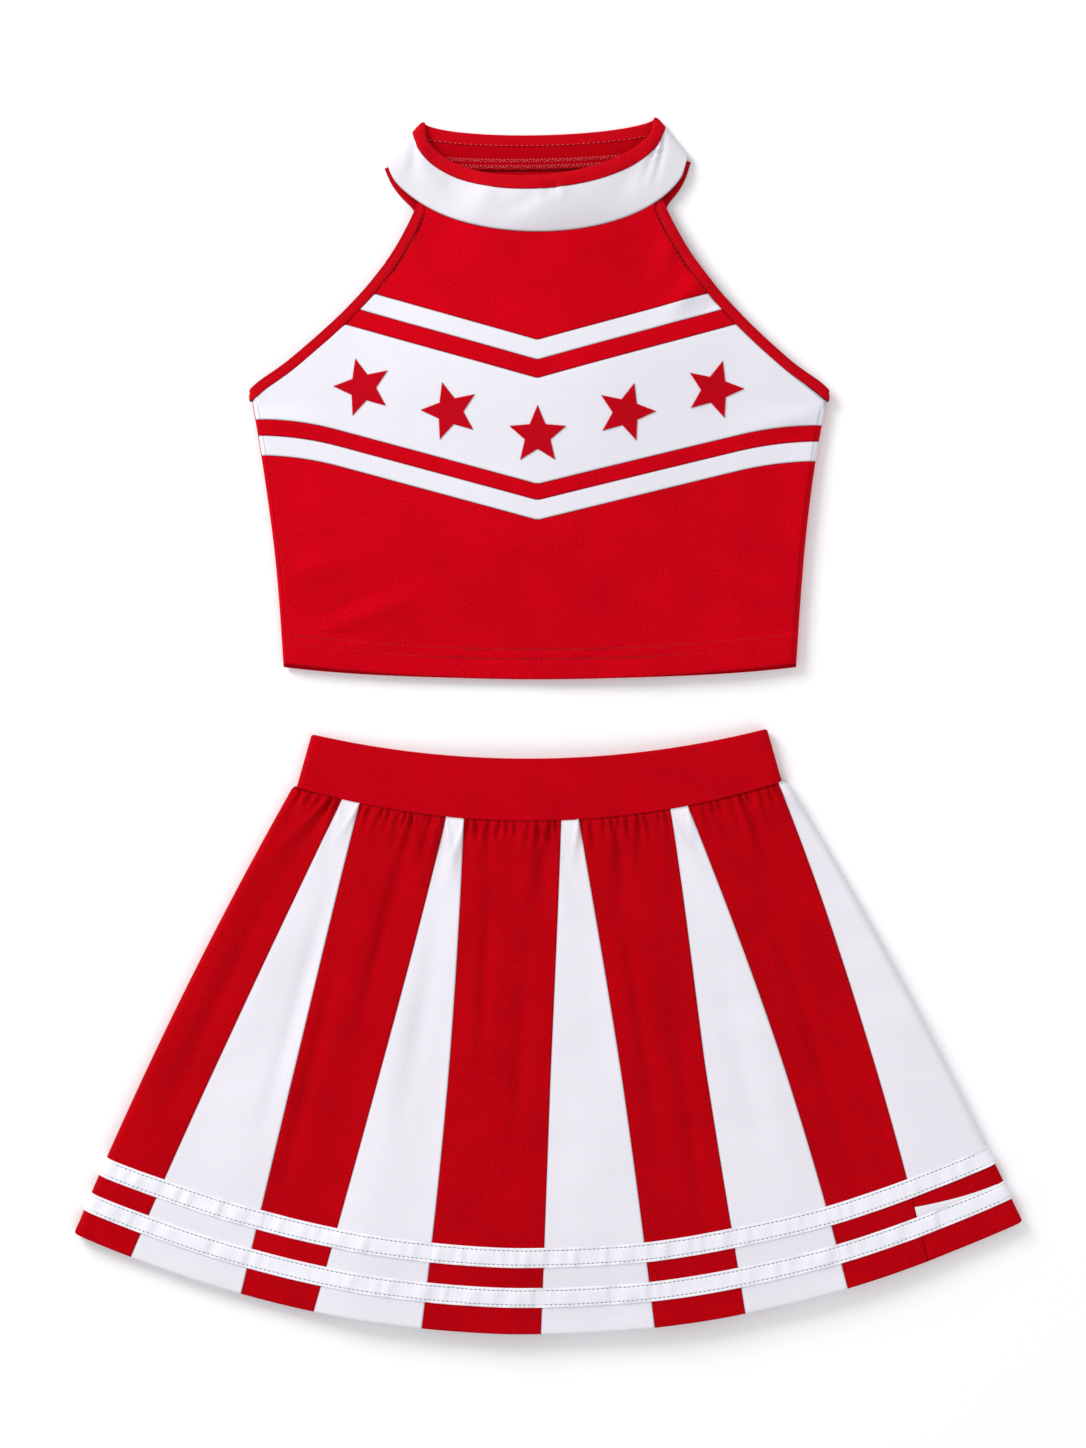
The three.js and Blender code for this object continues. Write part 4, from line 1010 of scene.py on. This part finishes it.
def star(index):
    centre_x = (index - (STAR_COUNT - 1) / 2) * STAR_PITCH
    centre_y = float(chest(np.array(centre_x)) + high_red(np.array(centre_x))) / 2 - STAR_DROP
    tilt = -np.sign(centre_x) * math.atan(CHEVRON_SLOPE)
    corners = [math.pi / 2 + tilt + k * math.pi / 5 for k in range(11)]
    radii = [STAR_INNER if k % 2 else STAR_RADIUS for k in range(11)]
    tips = np.stack([radii * np.cos(corners), radii * np.sin(corners)], 1)
    side_marks = np.linspace(0, 1, 9)[:-1, None]
    outline = np.concatenate([lerp(tips[k], tips[k + 1], side_marks) for k in range(10)])
    x = centre_x + STAR_RINGS[:, None] * outline[None, :, 0]
    y = centre_y + STAR_RINGS[:, None] * outline[None, :, 1]
    from_edge = (1 - STAR_RINGS[:, None]) * np.linalg.norm(outline, axis=1)[None, :]
    lift = GAP + STAR_THICK - 0.3 * mm * np.clip(1 - from_edge / (1.0 * mm), 0, 1) ** 2
    outer = front_face(x, y, 0, lift)
    inner = front_face(x, y, 0, HAIR)
    # The seam value paints shade round the patch's rolled edge.
    patch = make_cloth(f"star_patch_{index + 1}", outer, inner, red_twill, grain_of(x, y),
                       0.5 * seam_value(from_edge * 2), ring=True)
    settle(patch, "crop_top", [f"star_{index + 1}"])


for index in range(STAR_COUNT):
    star(index)

# %% [markdown]
# The waistband is a casing, one strip of the red knit folded over a flat elastic: up the outside, over the
# top and down the inside. Pulled in by the elastic, it lies smooth, with only a slow swell across it.

# %% The waistband
WAIST_TOP_HALF, WAIST_BOTTOM_HALF, WAISTBAND = 158.5 * mm, 169 * mm, 42 * mm
WAIST_TOP_RISE, WAIST_BOTTOM_RISE = 19 * mm, 25.5 * mm
WAIST_FOLD, WAIST_DOME = 5 * mm, 6 * mm
CASING, ELASTIC = 0.9 * mm, 1.5 * mm
WAIST_TOP_Y = -LAY_GAP + 1.5 * mm
WAIST_BOTTOM_Y = -LAY_GAP - WAISTBAND
BAND_SWAY = 2.4 * mm  # the waistband's right end lies this much further out


def waist_at(place, up, deep, raised=0.0):
    half = lerp(WAIST_BOTTOM_HALF, WAIST_TOP_HALF, up)
    away_from_edges = np.sin(math.pi * np.clip(up, 0, 1))
    swell = 0.7 * mm * soft_noise(place[0] * half, up * WAISTBAND, 60 * mm, 41) * away_from_edges
    lifted = np.where(place[3] > 0, swell * place[2] ** 2, 0) + raised
    x, z = flat_tube(place, half, WAIST_FOLD, WAIST_DOME, deep - lifted)
    rise = lerp(WAIST_BOTTOM_RISE, WAIST_TOP_RISE, up)
    y = lerp(WAIST_BOTTOM_Y, WAIST_TOP_Y, up) + rise - arc_drop(x, half, rise)
    return placed(x + BAND_SWAY * ease(place[0], -1, 1), y, z)


CASING_THICK = 2 * CASING + 2 * GAP + ELASTIC
TURN_RADIUS = CASING_THICK / 2
LEG_TOP = 1 - TURN_RADIUS / WAISTBAND
waist_ring = ring_places(np.linspace(-1, 1, FRONT_COLUMNS + 20), np.linspace(-1, 1, FRONT_COLUMNS // 2))
BAND_OVER = 0.5 * mm  # the waistband's lower edge covers the gores' seam by this much
leg_marks = spaced(LEG_TOP * WAISTBAND, 3 * mm) / (LEG_TOP * WAISTBAND)
casing_rows = np.concatenate([leg_marks, np.linspace(1, 2, 9)[1:-1], 3 - leg_marks[::-1]])


def casing_face(depth):
    leg, over, inwards = folded_over(casing_rows, TURN_RADIUS - depth * CASING)
    roll = -rolled(casing_rows * WAISTBAND)[:, None] if depth == 0 else 0.0
    up = leg * LEG_TOP + (over - BAND_OVER * (1 - leg)) / WAISTBAND
    return waist_at(waist_ring, up[:, None], (TURN_RADIUS + inwards)[:, None], roll)


casing_outer, casing_inner = casing_face(0), casing_face(1)
around = np.linspace(0, 4 * WAIST_BOTTOM_HALF, casing_outer.shape[1])
casing_up = casing_rows[:, None] * WAISTBAND
# Painted shade along the band's sewn lower edge, on the outside.
casing_painted_shade = np.broadcast_to(seam_value(casing_up), casing_outer.shape[:2])
casing = make_cloth("waistband_cloth", casing_outer, casing_inner, band_knit, grain_of(around, casing_up),
                    casing_painted_shade, ring=True)
settle(casing, "skirt", ["waistband_casing"])
elastic_up = np.linspace(0.05, LEG_TOP - 0.02, 12)[:, None]
elastic_faces = [waist_at(waist_ring, elastic_up, CASING + GAP + thick) for thick in (0, ELASTIC)]
elastic = make_cloth("waistband_elastic_web", *elastic_faces, elastic_web,
                     grain_of(around, elastic_up * WAISTBAND), ring=True)
settle(elastic, "skirt", ["waistband_elastic"])

# %% [markdown]
# The skirt is cut in gores, red and white in turn. The red ones are cut wide and gathered into the waistband,
# and the white ones come up to narrow tops. The seams run from the waist to the hem, so a place is given by
# how far down the skirt it is and by its share of the half width there. Folds in the cloth follow the seams,
# because they keep the same share all the way down.

# %% The skirt's pattern
GORE_TOP_HALF, GORE_TOP_Y = WAIST_BOTTOM_HALF + 3 * mm, WAIST_BOTTOM_Y - GAP
SKIRT_LENGTH, SKIRT_HEM_HALF, SKIRT_HEM_RISE, SKIRT_HEM_SHIFT = 359 * mm, 330 * mm, 74 * mm, 6.3 * mm
SKIRT_FOLD, SKIRT_DOME = 5 * mm, 11 * mm
HEM_Y = WAIST_BOTTOM_Y - SKIRT_LENGTH
WHITE_TOP, RED_TOP, FIRST_RED_TOP, LAST_WHITE_TOP = 12.5 * mm, 64 * mm, 32 * mm, 6 * mm
FRONT_HEM_WIDTHS = np.array([39, 77, 51, 75, 84, 79, 64, 71, 56, 64]) * mm
BACK_GORES, FIRST_RED_BACK, LAST_WHITE_BACK = 8, 30 * mm, 12 * mm
RIBBON, RIBBON_THICK, RIBBON_SPACE = 14 * mm, 0.6 * mm, 14.4 * mm
LOWER_RIBBON_UP, RIBBON_LIFT = 19 * mm, 1.2 * mm


def skirt_half(down):
    return lerp(GORE_TOP_HALF, SKIRT_HEM_HALF, down)


def share_at(height):
    """A height above the hem's edge as a share of the way down."""
    return 1 - height / SKIRT_LENGTH


ribbon_lows = [LOWER_RIBBON_UP + RIBBON + RIBBON_SPACE, LOWER_RIBBON_UP]
ribbon_rows = [(share_at(low + RIBBON), share_at(low)) for low in ribbon_lows]

front_count = len(FRONT_HEM_WIDTHS)
top_widths = [FIRST_RED_TOP] + [WHITE_TOP if i % 2 else RED_TOP for i in range(1, front_count - 1)]
front_waist = np.cumsum(top_widths)
front_waist = front_waist * (2 * GORE_TOP_HALF - LAST_WHITE_TOP) / front_waist[-1]
front_hem = np.cumsum(FRONT_HEM_WIDTHS)[:-1] * 2 * SKIRT_HEM_HALF / FRONT_HEM_WIDTHS.sum()
gore_seams = [(1, waist, hem) for waist, hem in zip(front_waist, front_hem)]
back_hem = (2 * SKIRT_HEM_HALF - FIRST_RED_BACK - LAST_WHITE_BACK) / BACK_GORES
back_waist = (2 * GORE_TOP_HALF - FIRST_RED_TOP - LAST_WHITE_TOP) / (BACK_GORES / 2)
for k in range(BACK_GORES + 1):
    waist = LAST_WHITE_TOP + (k // 2) * back_waist + (k % 2) * (back_waist - WHITE_TOP)
    gore_seams.append((-1, waist, LAST_WHITE_BACK + k * back_hem))


def seam_share(seam, down):
    face, waist, hem = seam
    half = skirt_half(down)
    x = face * (lerp(waist, hem, down) - half)
    return np.clip(x / (half - SKIRT_FOLD), -1, 1)


print("gore seams", len(gore_seams), "front seams at the hem", [round(1000 * s[2]) for s in gore_seams[:9]])

# %% [markdown]
# Gathers start at the waistband as tight V-shaped tucks, widen as they go down and fade out within a hand's
# width. Below them the cloth falls in slow soft folds. Each red gore gets its own few tucks, at slightly
# uneven places with uneven lengths, drawn from a seeded list so that they are the same every time.

# %% Gathers and soft folds
draw = np.random.RandomState(7)
gathers = []
edges = [-1.0] + [float(seam_share(s, np.array(0.0))) for s in gore_seams[:9]]
for k in range(0, 10, 2):
    low_share, high_share = edges[k], edges[k + 1]
    count = 10 if k else 5
    for n in range(count):
        share = lerp(low_share, high_share, (n + 0.5 + draw.uniform(-0.3, 0.3)) / count)
        long_one = draw.uniform() < 0.3
        length = draw.uniform(30, 70) * mm if long_one else draw.uniform(9, 24) * mm
        deep = draw.uniform(1.4, 2.6) * mm + 0.6 * mm * long_one
        gathers.append((share, length, deep, draw.uniform(-0.1, 0.1)))
print(len(gathers), "gathers")
FOLDS = [  # gore, share across it, from and to in shares of the length, width, rise
    (1, 0.52, 0.02, 0.85, 6 * mm, -2.6 * mm), (3, 0.20, 0.15, 0.95, 6 * mm, -2.6 * mm),
    (3, 0.62, 0.02, 0.55, 5 * mm, -2.6 * mm), (5, 0.30, 0.02, 0.60, 5 * mm, -2.6 * mm),
    (5, 0.70, 0.10, 0.85, 7 * mm, -2.6 * mm), (7, 0.32, 0.05, 0.75, 6 * mm, -2.6 * mm),
    (7, 0.72, 0.25, 0.95, 7 * mm, -2.5 * mm), (9, 0.42, 0.02, 0.95, 6 * mm, -2.4 * mm),
    (4, 0.45, 0.10, 0.70, 8 * mm, -2.0 * mm), (8, 0.50, 0.20, 0.85, 9 * mm, -2.0 * mm),
    (2, 0.80, 0.05, 0.80, 6 * mm, -2.0 * mm),
]


PUFF = 1.3 * mm  # the gathered cloth stands out just below the waistband


def gore_middle(number, within, down):
    """The share of a place across one of the front's gores, at any height."""
    left = -1.0 if number == 1 else seam_share(gore_seams[number - 2], down)
    return lerp(left, seam_share(gore_seams[number - 1], down), within)


def skirt_swell(share, down):
    distance = np.maximum(down, 0) * SKIRT_LENGTH
    across = share * GORE_TOP_HALF
    swell = 1.6 * mm * ease(down, 0.03, 0.5) * soft_noise(across + 0.5, distance * 0.2, 19 * mm, 51)
    swell = swell + 1.2 * mm * ease(down, 0, 0.2) * soft_noise(across + 0.5, distance * 0.5, 60 * mm, 52)
    swell = swell + 0.4 * mm * ease(down, 0, 0.1) * soft_noise(across, distance, 22 * mm, 53)
    swell = swell + PUFF * bell(distance - 13 * mm, 11 * mm)
    for number, within, start, end, width, rise in FOLDS:
        off = (share - gore_middle(number, within, down)) * skirt_half(down)
        swell = swell + rise * bell(off, width) * hump(down - (start + end) / 2, (end - start) / 2)
    at_seam = 0.55 + 0.45 * ease(distance, 0, 4 * mm)
    for place, length, deep, lean in gathers:
        off = np.abs(across - place * GORE_TOP_HALF - lean * distance) / (1.1 * mm + 0.10 * distance)
        fade = deep * np.exp(-((distance / length) ** 1.5)) * at_seam
        swell = swell + fade * (0.5 * bell(off - 1.9, 0.8) - bell(off, 1))
    return swell


# The skirt's sides belly out on the table and its seams sway with them. Each line moves to the right by these
# amounts at the waist, halfway down and at the hem: the left side, the nine seams of the front, the right side.
SWAYS = np.array([(0, -6.4, -1.0), (3.2, -0.8, 0), (2.8, 1.2, 0), (-0.4, 1.3, 0), (-0.5, 4.2, 0.7),
                  (3.6, 1.4, 0), (3.4, 5.2, 0.7), (3.4, -0.6, 0), (3.4, 9.0, 0.7), (3.6, 7.8, 1.0),
                  (3.0, 9.2, 3.5)]) * mm
sway_shares = [-1.0] + [float(seam_share(s, np.array(0.5))) for s in gore_seams[:9]] + [1.0]


def sway(share, down):
    at_waist, halfway, at_hem = (np.interp(share, sway_shares, column) for column in SWAYS.T)
    down = np.clip(down, 0, 1)
    ends = at_waist * (1 - down) * (1 - 2 * down) + at_hem * down * (2 * down - 1)
    return ends + 4 * halfway * down * (1 - down)


def under_ribbons(down):
    """How much of the ribbons' lift the back has: all of it under them, and none a hand's width away."""
    start, end = ribbon_rows[0][0] - 0.005, ribbon_rows[1][1] + 0.004
    return ease(down, start - 0.055, start) * (1 - ease(down, end, end + 0.026))


SKIRT_SETTLE = 7 * mm  # the skirt's front sinks towards its hem


def skirt_at(place, down, deep, raised=0.0):
    share, out, rise, face = place
    half = skirt_half(down)
    lifted = np.where(face > 0, skirt_swell(share, down) * rise * rise, 0) + raised
    x, z = flat_tube(place, half, SKIRT_FOLD, lerp(WAIST_DOME, SKIRT_DOME, down), deep - lifted)
    z = z - np.where(face > 0, SKIRT_SETTLE * ease(down, 0.78, 1.0) * hump(share * half, half) * rise, 0)
    hem_rise = lerp(WAIST_BOTTOM_RISE, SKIRT_HEM_RISE, down)
    y = lerp(GORE_TOP_Y, HEM_Y, down) + hem_rise - arc_drop(x, half, hem_rise)
    z = z + np.where(face > 0, 0, RIBBON_LIFT * under_ribbons(down))
    return placed(x + SKIRT_HEM_SHIFT * down + sway(share, down), y, z)


# %% [markdown]
# Each gore is a grid between two seams. A gore that lies over a side goes on round the fold to the back. The
# top edge is rolled into the waistband's seam, and the hem is a narrow turned edge, so it is thicker there
# than the knit alone. The last gore of the front stops at the ribbon, and a red block makes up its hem.

# %% The gores
def gore_places(a, b, down, step):  # step is the distance between columns at the hem
    """The places of each column at each height, and the distances from both seams."""
    half = skirt_half(down)[:, None]
    flat = half - SKIRT_FOLD
    start, end = (seam_share(s, down)[:, None] for s in (a, b))

    def flat_columns(p, q, face, fine_start, fine_end):
        width = float(np.abs(q - p)[-1, 0] * flat[-1, 0])
        marks = spaced(width, step)
        coarse_start = (marks == 0) | (marks >= step * 0.7)
        coarse_end = (marks == width) | (marks <= width - step * 0.7)
        marks = marks[(fine_start | coarse_start) & (fine_end | coarse_end)] / width
        share = lerp(p, q, marks[None, :])
        ones = np.ones_like(share)
        return np.stack([share, 0 * ones, ones, face * ones])

    if a[0] == b[0]:
        place = flat_columns(start, end, a[0], True, True)
    else:
        side = 1.0 if a[0] > 0 else -1.0
        corner = np.full_like(start, side)
        first = flat_columns(start, corner, a[0], True, False)
        last = flat_columns(corner, end, b[0], False, True)
        turn = fold_places(side, a[0], FOLD_ANGLES[::-1][1:]) + fold_places(side, b[0], FOLD_ANGLES[1:-1])
        turn = np.repeat(np.array(turn, float).T[:, None, :], len(down), axis=1)
        place = np.concatenate([first, turn, last], axis=2)

    def from_seam(seam, edge):
        other_side = 1.0  # a metre, so that the seam is not felt there
        return np.where(place[3] == seam[0], np.abs(place[0] - edge) * flat, other_side) + past_fold

    past_fold = np.abs(place[1]) * (a[0] != b[0])
    return place, from_seam(a, start), from_seam(b, end)


TUCK = 1.6 * mm  # each gore's top goes on this far under the waistband's edge
TUCK_DEEP = 1.5 * mm


GORE_PROUD, GORE_HEM = 0.25 * mm, 8 * mm  # the turned edge at a gore's hem
DEEPEST_ROLL = 0.8 * mm
GATHER_ROWS = (5 * mm, 9 * mm, 13 * mm, 17 * mm)  # finer rows, so that the gathers keep their shape


def gore(name, a, b, start, end, material, step):
    """One gore between two seams, from one share of the way down to another."""
    at_waist, at_hem = start < 0, end > 0.999
    length = (end - start) * SKIRT_LENGTH
    gathered = material is skirt_red and at_waist and step == FRONT_STEP
    marks = spaced(length, step, fine=GATHER_ROWS if gathered else ())
    down = start + marks / SKIRT_LENGTH
    place, on_a, on_b = gore_places(a, b, down, (0.38 if gathered else 0.6) * step)
    from_top, from_end = marks[:, None], (length - marks)[:, None]
    roll = rolled(on_a) + rolled(on_b) + rolled(from_end) * (1.4 if at_hem else 1)
    proud, tucked = 0.0, 0.0
    if at_hem:
        proud = GORE_PROUD * (1 - ease(from_end, GORE_HEM - 1 * mm, GORE_HEM + 1 * mm)) * (place[3] > 0)
    if at_waist:
        tucked = TUCK_DEEP * np.clip(1 - from_top / (2 * TUCK), 0, 1) ** 2
        top_seam = np.maximum(from_top - TUCK, 0)
    else:
        roll = roll + rolled(from_top)
        top_seam = from_top
    outer = skirt_at(place, down[:, None], 0.0, proud - np.minimum(roll, DEEPEST_ROLL) - tucked)
    inner = skirt_at(place, down[:, None], CLOTH, -tucked)
    # Painted shade in the seams, from the seam value.
    nearest = np.minimum(np.minimum(on_a, on_b), top_seam if at_hem else np.minimum(top_seam, from_end))
    across = place[0] * skirt_half(0.5) * place[3] + place[1] * 0.01
    return make_cloth(name, outer, inner, material, grain_of(across, marks[:, None]), seam_value(nearest))


FRONT_STEP = 3.0 * mm
BACK_STEP = 5 * mm
block_share = ribbon_rows[0][1]
order = len(gore_seams)
for i in range(order):
    a, b = gore_seams[i], gore_seams[(i + 1) % order]
    number = (i + 1) % order + 1
    white = number % 2 == 0
    colour = "white" if white else "red"
    step = BACK_STEP if a[0] < 0 and b[0] < 0 else FRONT_STEP
    last_row = block_share if number == front_count else 1.0
    fabric = skirt_white if white else skirt_red
    piece = gore(f"skirt_gore_{number:02d}_cloth", a, b, -TUCK / SKIRT_LENGTH, last_row, fabric, step)
    settle(piece, "skirt", [f"gore_{number:02d}_{colour}"])

# %% [markdown]
# At the right-hand side the front's hem is made up by a red block. A small white flap lies on it, above the
# lower ribbon. It is wide at the gore's seam and narrows to nothing towards the side fold, with a curved
# upper edge.

# %% The side block and its flap
block_seams = (gore_seams[front_count - 2], gore_seams[front_count - 1])
block = gore("side_hem_block_cloth", *block_seams, block_share, 1.0, skirt_red, FRONT_STEP)
FLAP_DEEP, FLAP_END = 8 * mm, 0.8 * mm
CLEAR = 0.08 * mm  # what is sewn on top keeps this far off the gores
flap_steps = np.linspace(0, 1, 30)[None, :]
flap_marks = np.array([0, 0.04, 0.1, 0.3, 0.5, 0.7, 0.9, 0.96, 1])[:, None]
flap_low = ribbon_rows[1][0] + 0.5 * mm / SKIRT_LENGTH
flap_depth = FLAP_END + (FLAP_DEEP - FLAP_END) * (1 - flap_steps) ** 1.6
flap_down = flap_low - flap_depth * (1 - flap_marks) / SKIRT_LENGTH
flap_start = seam_share(block_seams[0], flap_down)
flap_place = np.stack(np.broadcast_arrays(lerp(flap_start, 0.999, flap_steps), 0.0, 1.0, 1.0))
flap_roll = 0.3 * mm * np.clip(1 - flap_depth * (1 - np.abs(2 * flap_marks - 1)) / (1.2 * mm), 0, 1)
flap_outer = skirt_at(flap_place, flap_down, 0.0, GAP + RIBBON_THICK - flap_roll)
flap_inner = skirt_at(flap_place, flap_down, 0.0, CLEAR)
flap = make_cloth("side_flap_cloth", flap_outer, flap_inner, skirt_white, flap_outer[..., :2])
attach(flap, "skirt")
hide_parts("side_flap")
settle(block, "skirt", ["side_hem_block"])

# %% [markdown]
# Two ribbons run all round above the hem, each held by a row of stitches along both edges. A woven ribbon does
# not stretch with the knit, so it puckers into small soft ripples between the stitches. The ripples run across
# the ribbon, are uneven, and die away towards its edges.

# %% The ribbons
ribbon_step = 2.2 * mm
hem_ring = ring_places(np.linspace(-1, 1, int(2 * SKIRT_HEM_HALF / ribbon_step)),
                       np.linspace(-1, 1, int(2 * SKIRT_HEM_HALF / (2.2 * ribbon_step))))
STITCH_IN = 2.0 * mm  # from a ribbon's edge to its stitches


def ribbon_raised(place, from_edge, seed):
    """How far the ribbon's face stands off the knit: its own thickness, its ripples and its stitch lines."""
    along = place[0] * SKIRT_HEM_HALF
    ripple = soft_noise(along, 0 * along + 0.03, 4.6 * mm, seed)
    ripple = ripple + 0.8 * soft_noise(along, 0 * along, 9 * mm, seed + 1)
    middle = np.sin(math.pi * np.clip(from_edge / RIBBON, 0, 1)) ** 0.6
    stitch = bell(from_edge - STITCH_IN, 0.5 * mm) + bell(RIBBON - from_edge - STITCH_IN, 0.5 * mm)
    swing = np.where(place[3] > 0, 1.1 * mm * ripple * middle, 0) * place[2] ** 2
    return GAP + RIBBON_THICK + swing - 0.28 * mm * stitch


for word, (start, end), seed in (("upper", ribbon_rows[0], 61), ("lower", ribbon_rows[1], 71)):
    marks = spaced(RIBBON, 1.8 * mm, ends=(0.25 * mm, 0.7 * mm), fine=(STITCH_IN, RIBBON - STITCH_IN))
    down = (start + marks / SKIRT_LENGTH)[:, None]
    lift = ribbon_raised(hem_ring, marks[:, None], seed)
    edge = np.minimum(marks, RIBBON - marks)[:, None]
    outer = skirt_at(hem_ring, down, 0.0, lift - 0.3 * mm * np.clip(1 - edge / (0.7 * mm), 0, 1))
    inner = skirt_at(hem_ring, down, 0.0, CLEAR)
    grain = grain_of(marks[:, None], np.linspace(0, 4 * SKIRT_HEM_HALF, hem_ring.shape[1]))
    # Painted shade along the stitch lines.
    painted_stitch_shade = bell(edge - STITCH_IN, 0.6 * mm) * np.ones(outer.shape[:2])
    ribbon = make_cloth(f"hem_ribbon_{word}_tape", outer, inner, white_ribbon, grain, painted_stitch_shade, ring=True)
    settle(ribbon, "skirt", [f"hem_ribbon_{word}"])

# %% [markdown]
# Every seam that shows has its stitches. A stitch is a short bead of thread that goes down into the cloth at
# both ends. A row of stitches is a path over the cloth, cut into beads at an even pitch, all in one mesh. It
# lies in the groove that the cloth was given for it.

# %% Rows of stitches
BEAD_SIDES = 6
BEAD_THICKNESS = np.array([0.25, 0.85, 1.0, 0.85, 0.25])  # along a bead, as shares of the thread's radius
BEAD_DROP = np.array([1.0, 0.35, 0.0, 0.35, 1.0]) * 1.1  # how far it goes down into the cloth
UPWARD = np.array([0.0, 0.0, 1.0])
bead_ids = np.arange(len(BEAD_DROP) * BEAD_SIDES).reshape(-1, BEAD_SIDES)
bead_next = np.roll(bead_ids, -1, axis=1)
bead_faces = [(bead_ids[k, s], bead_ids[k + 1, s], bead_next[k + 1, s], bead_next[k, s])
              for k in range(len(BEAD_DROP) - 1) for s in range(BEAD_SIDES)]
bead_faces += [tuple(bead_ids[0]), tuple(bead_ids[-1][::-1])]


def stitch_mesh(name, lines, material, body,
                radius=0.28 * mm, length=2.0 * mm, pitch=2.8 * mm, sink=0.25):
    """Rows of stitches: each line of points along the cloth is cut into beads."""
    vertices, faces = [], []
    angle = (np.arange(BEAD_SIDES) / BEAD_SIDES * 2 * math.pi)[None, :, None]
    for points in lines:
        marks = distance_along(points)
        for start in np.arange(pitch / 2, marks[-1] - length, pitch):
            centre = read_at(np.linspace(start, start + length, len(BEAD_DROP)), marks, points)
            side = unit(np.cross(UPWARD, centre[-1] - centre[0]))
            centre[:, 2] += radius * (sink - BEAD_DROP)
            ring = np.cos(angle) * side + np.sin(angle) * UPWARD
            faces += [[len(vertices) + int(v) for v in face] for face in bead_faces]
            bead = centre[:, None] + radius * BEAD_THICKNESS[:, None, None] * ring
            vertices += bead.reshape(-1, 3).tolist()
    row = add_mesh(name, vertices, faces, material)
    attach(row, body)
    print(name, len(vertices) // bead_ids.size, "stitches")


x_line = np.linspace(-HEM_HALF + 6 * mm, HEM_HALF - 6 * mm, 240)
hem_lines = [front_face(x_line, front_hem_y(x_line) + up, 0, 0.1 * mm) for up in HEM_STITCHES]
hem_lines += [back_face(x_line, back_hem_y(x_line) + up, CLOTH) for up in HEM_STITCHES]
stitch_mesh("hem_stitches", hem_lines, deep_red_thread, "crop_top")

ribbon_lines = []
front_line = np.stack(np.broadcast_arrays(np.linspace(-0.995, 0.995, 500), 0.0, 1.0, 1.0))
for (start, end), seed in zip(ribbon_rows, (61, 71)):
    for inset in (STITCH_IN, RIBBON - STITCH_IN):
        lift = ribbon_raised(front_line, inset, seed)
        ribbon_lines.append(skirt_at(front_line, start + inset / SKIRT_LENGTH, 0.0, lift))
stitch_mesh("ribbon_stitches", ribbon_lines, shaded_white_thread, "skirt", radius=0.42 * mm,
            length=1.8 * mm, pitch=3.2 * mm)

back_line = np.stack(np.broadcast_arrays(np.linspace(-0.93, 0.93, 200), 0.0, 1.0, -1.0))
inner_edge = BINDING_FROM - (INSIDE_LEG - 0.6 * mm) / COLLAR_HEIGHT
lining_line = collar_at(back_line, np.full(200, inner_edge), STACK + BINDING_PROUD + 0.05 * mm)
stitch_mesh("neck_topstitches", [lining_line], pale_red_thread, "crop_top", radius=0.34 * mm,
            length=2.2 * mm, pitch=3.6 * mm)

edge_line = armhole_point(FRONT_ARMHOLE, np.linspace(0.3, 1.0, 160), ARM_BINDING + 0.6 * mm)
edge_x, edge_y = edge_line[edge_line[:, 1] > yoke(edge_line[:, 0])].T
armhole_lines = [front_face(side * edge_x, edge_y, 0, 0.05 * mm) for side in (-1, 1)]
stitch_mesh("armhole_stitches", armhole_lines, deep_red_thread, "crop_top", pitch=3.4 * mm)

# %% [markdown]
# Inside the neck, the seam that joins the collar to the back is overlocked. Two bands of it show, each a
# needle row with a looping thread that zigzags beside it. They are beads of finer thread, like the stitches.

# %% The overlocked seam inside the neck
ZIGS = 110
zig_place = np.stack(np.broadcast_arrays(np.linspace(-0.74, 0.74, ZIGS), 0.0, 1.0, -1.0))
zigzag = np.where(np.arange(ZIGS) % 2, 1, -1)
overlock_rows = []
for height in (0.07, 0.245):
    overlock_rows.append(collar_at(zig_place, height + 0.035 * zigzag, STACK + 0.15 * mm))
    overlock_rows.append(collar_at(zig_place, np.full(ZIGS, height + 0.05), STACK + 0.1 * mm))
stitch_mesh("neck_overlock", overlock_rows, pink_thread, "crop_top", radius=0.24 * mm,
            length=1.7 * mm, pitch=2.6 * mm, sink=0.6)
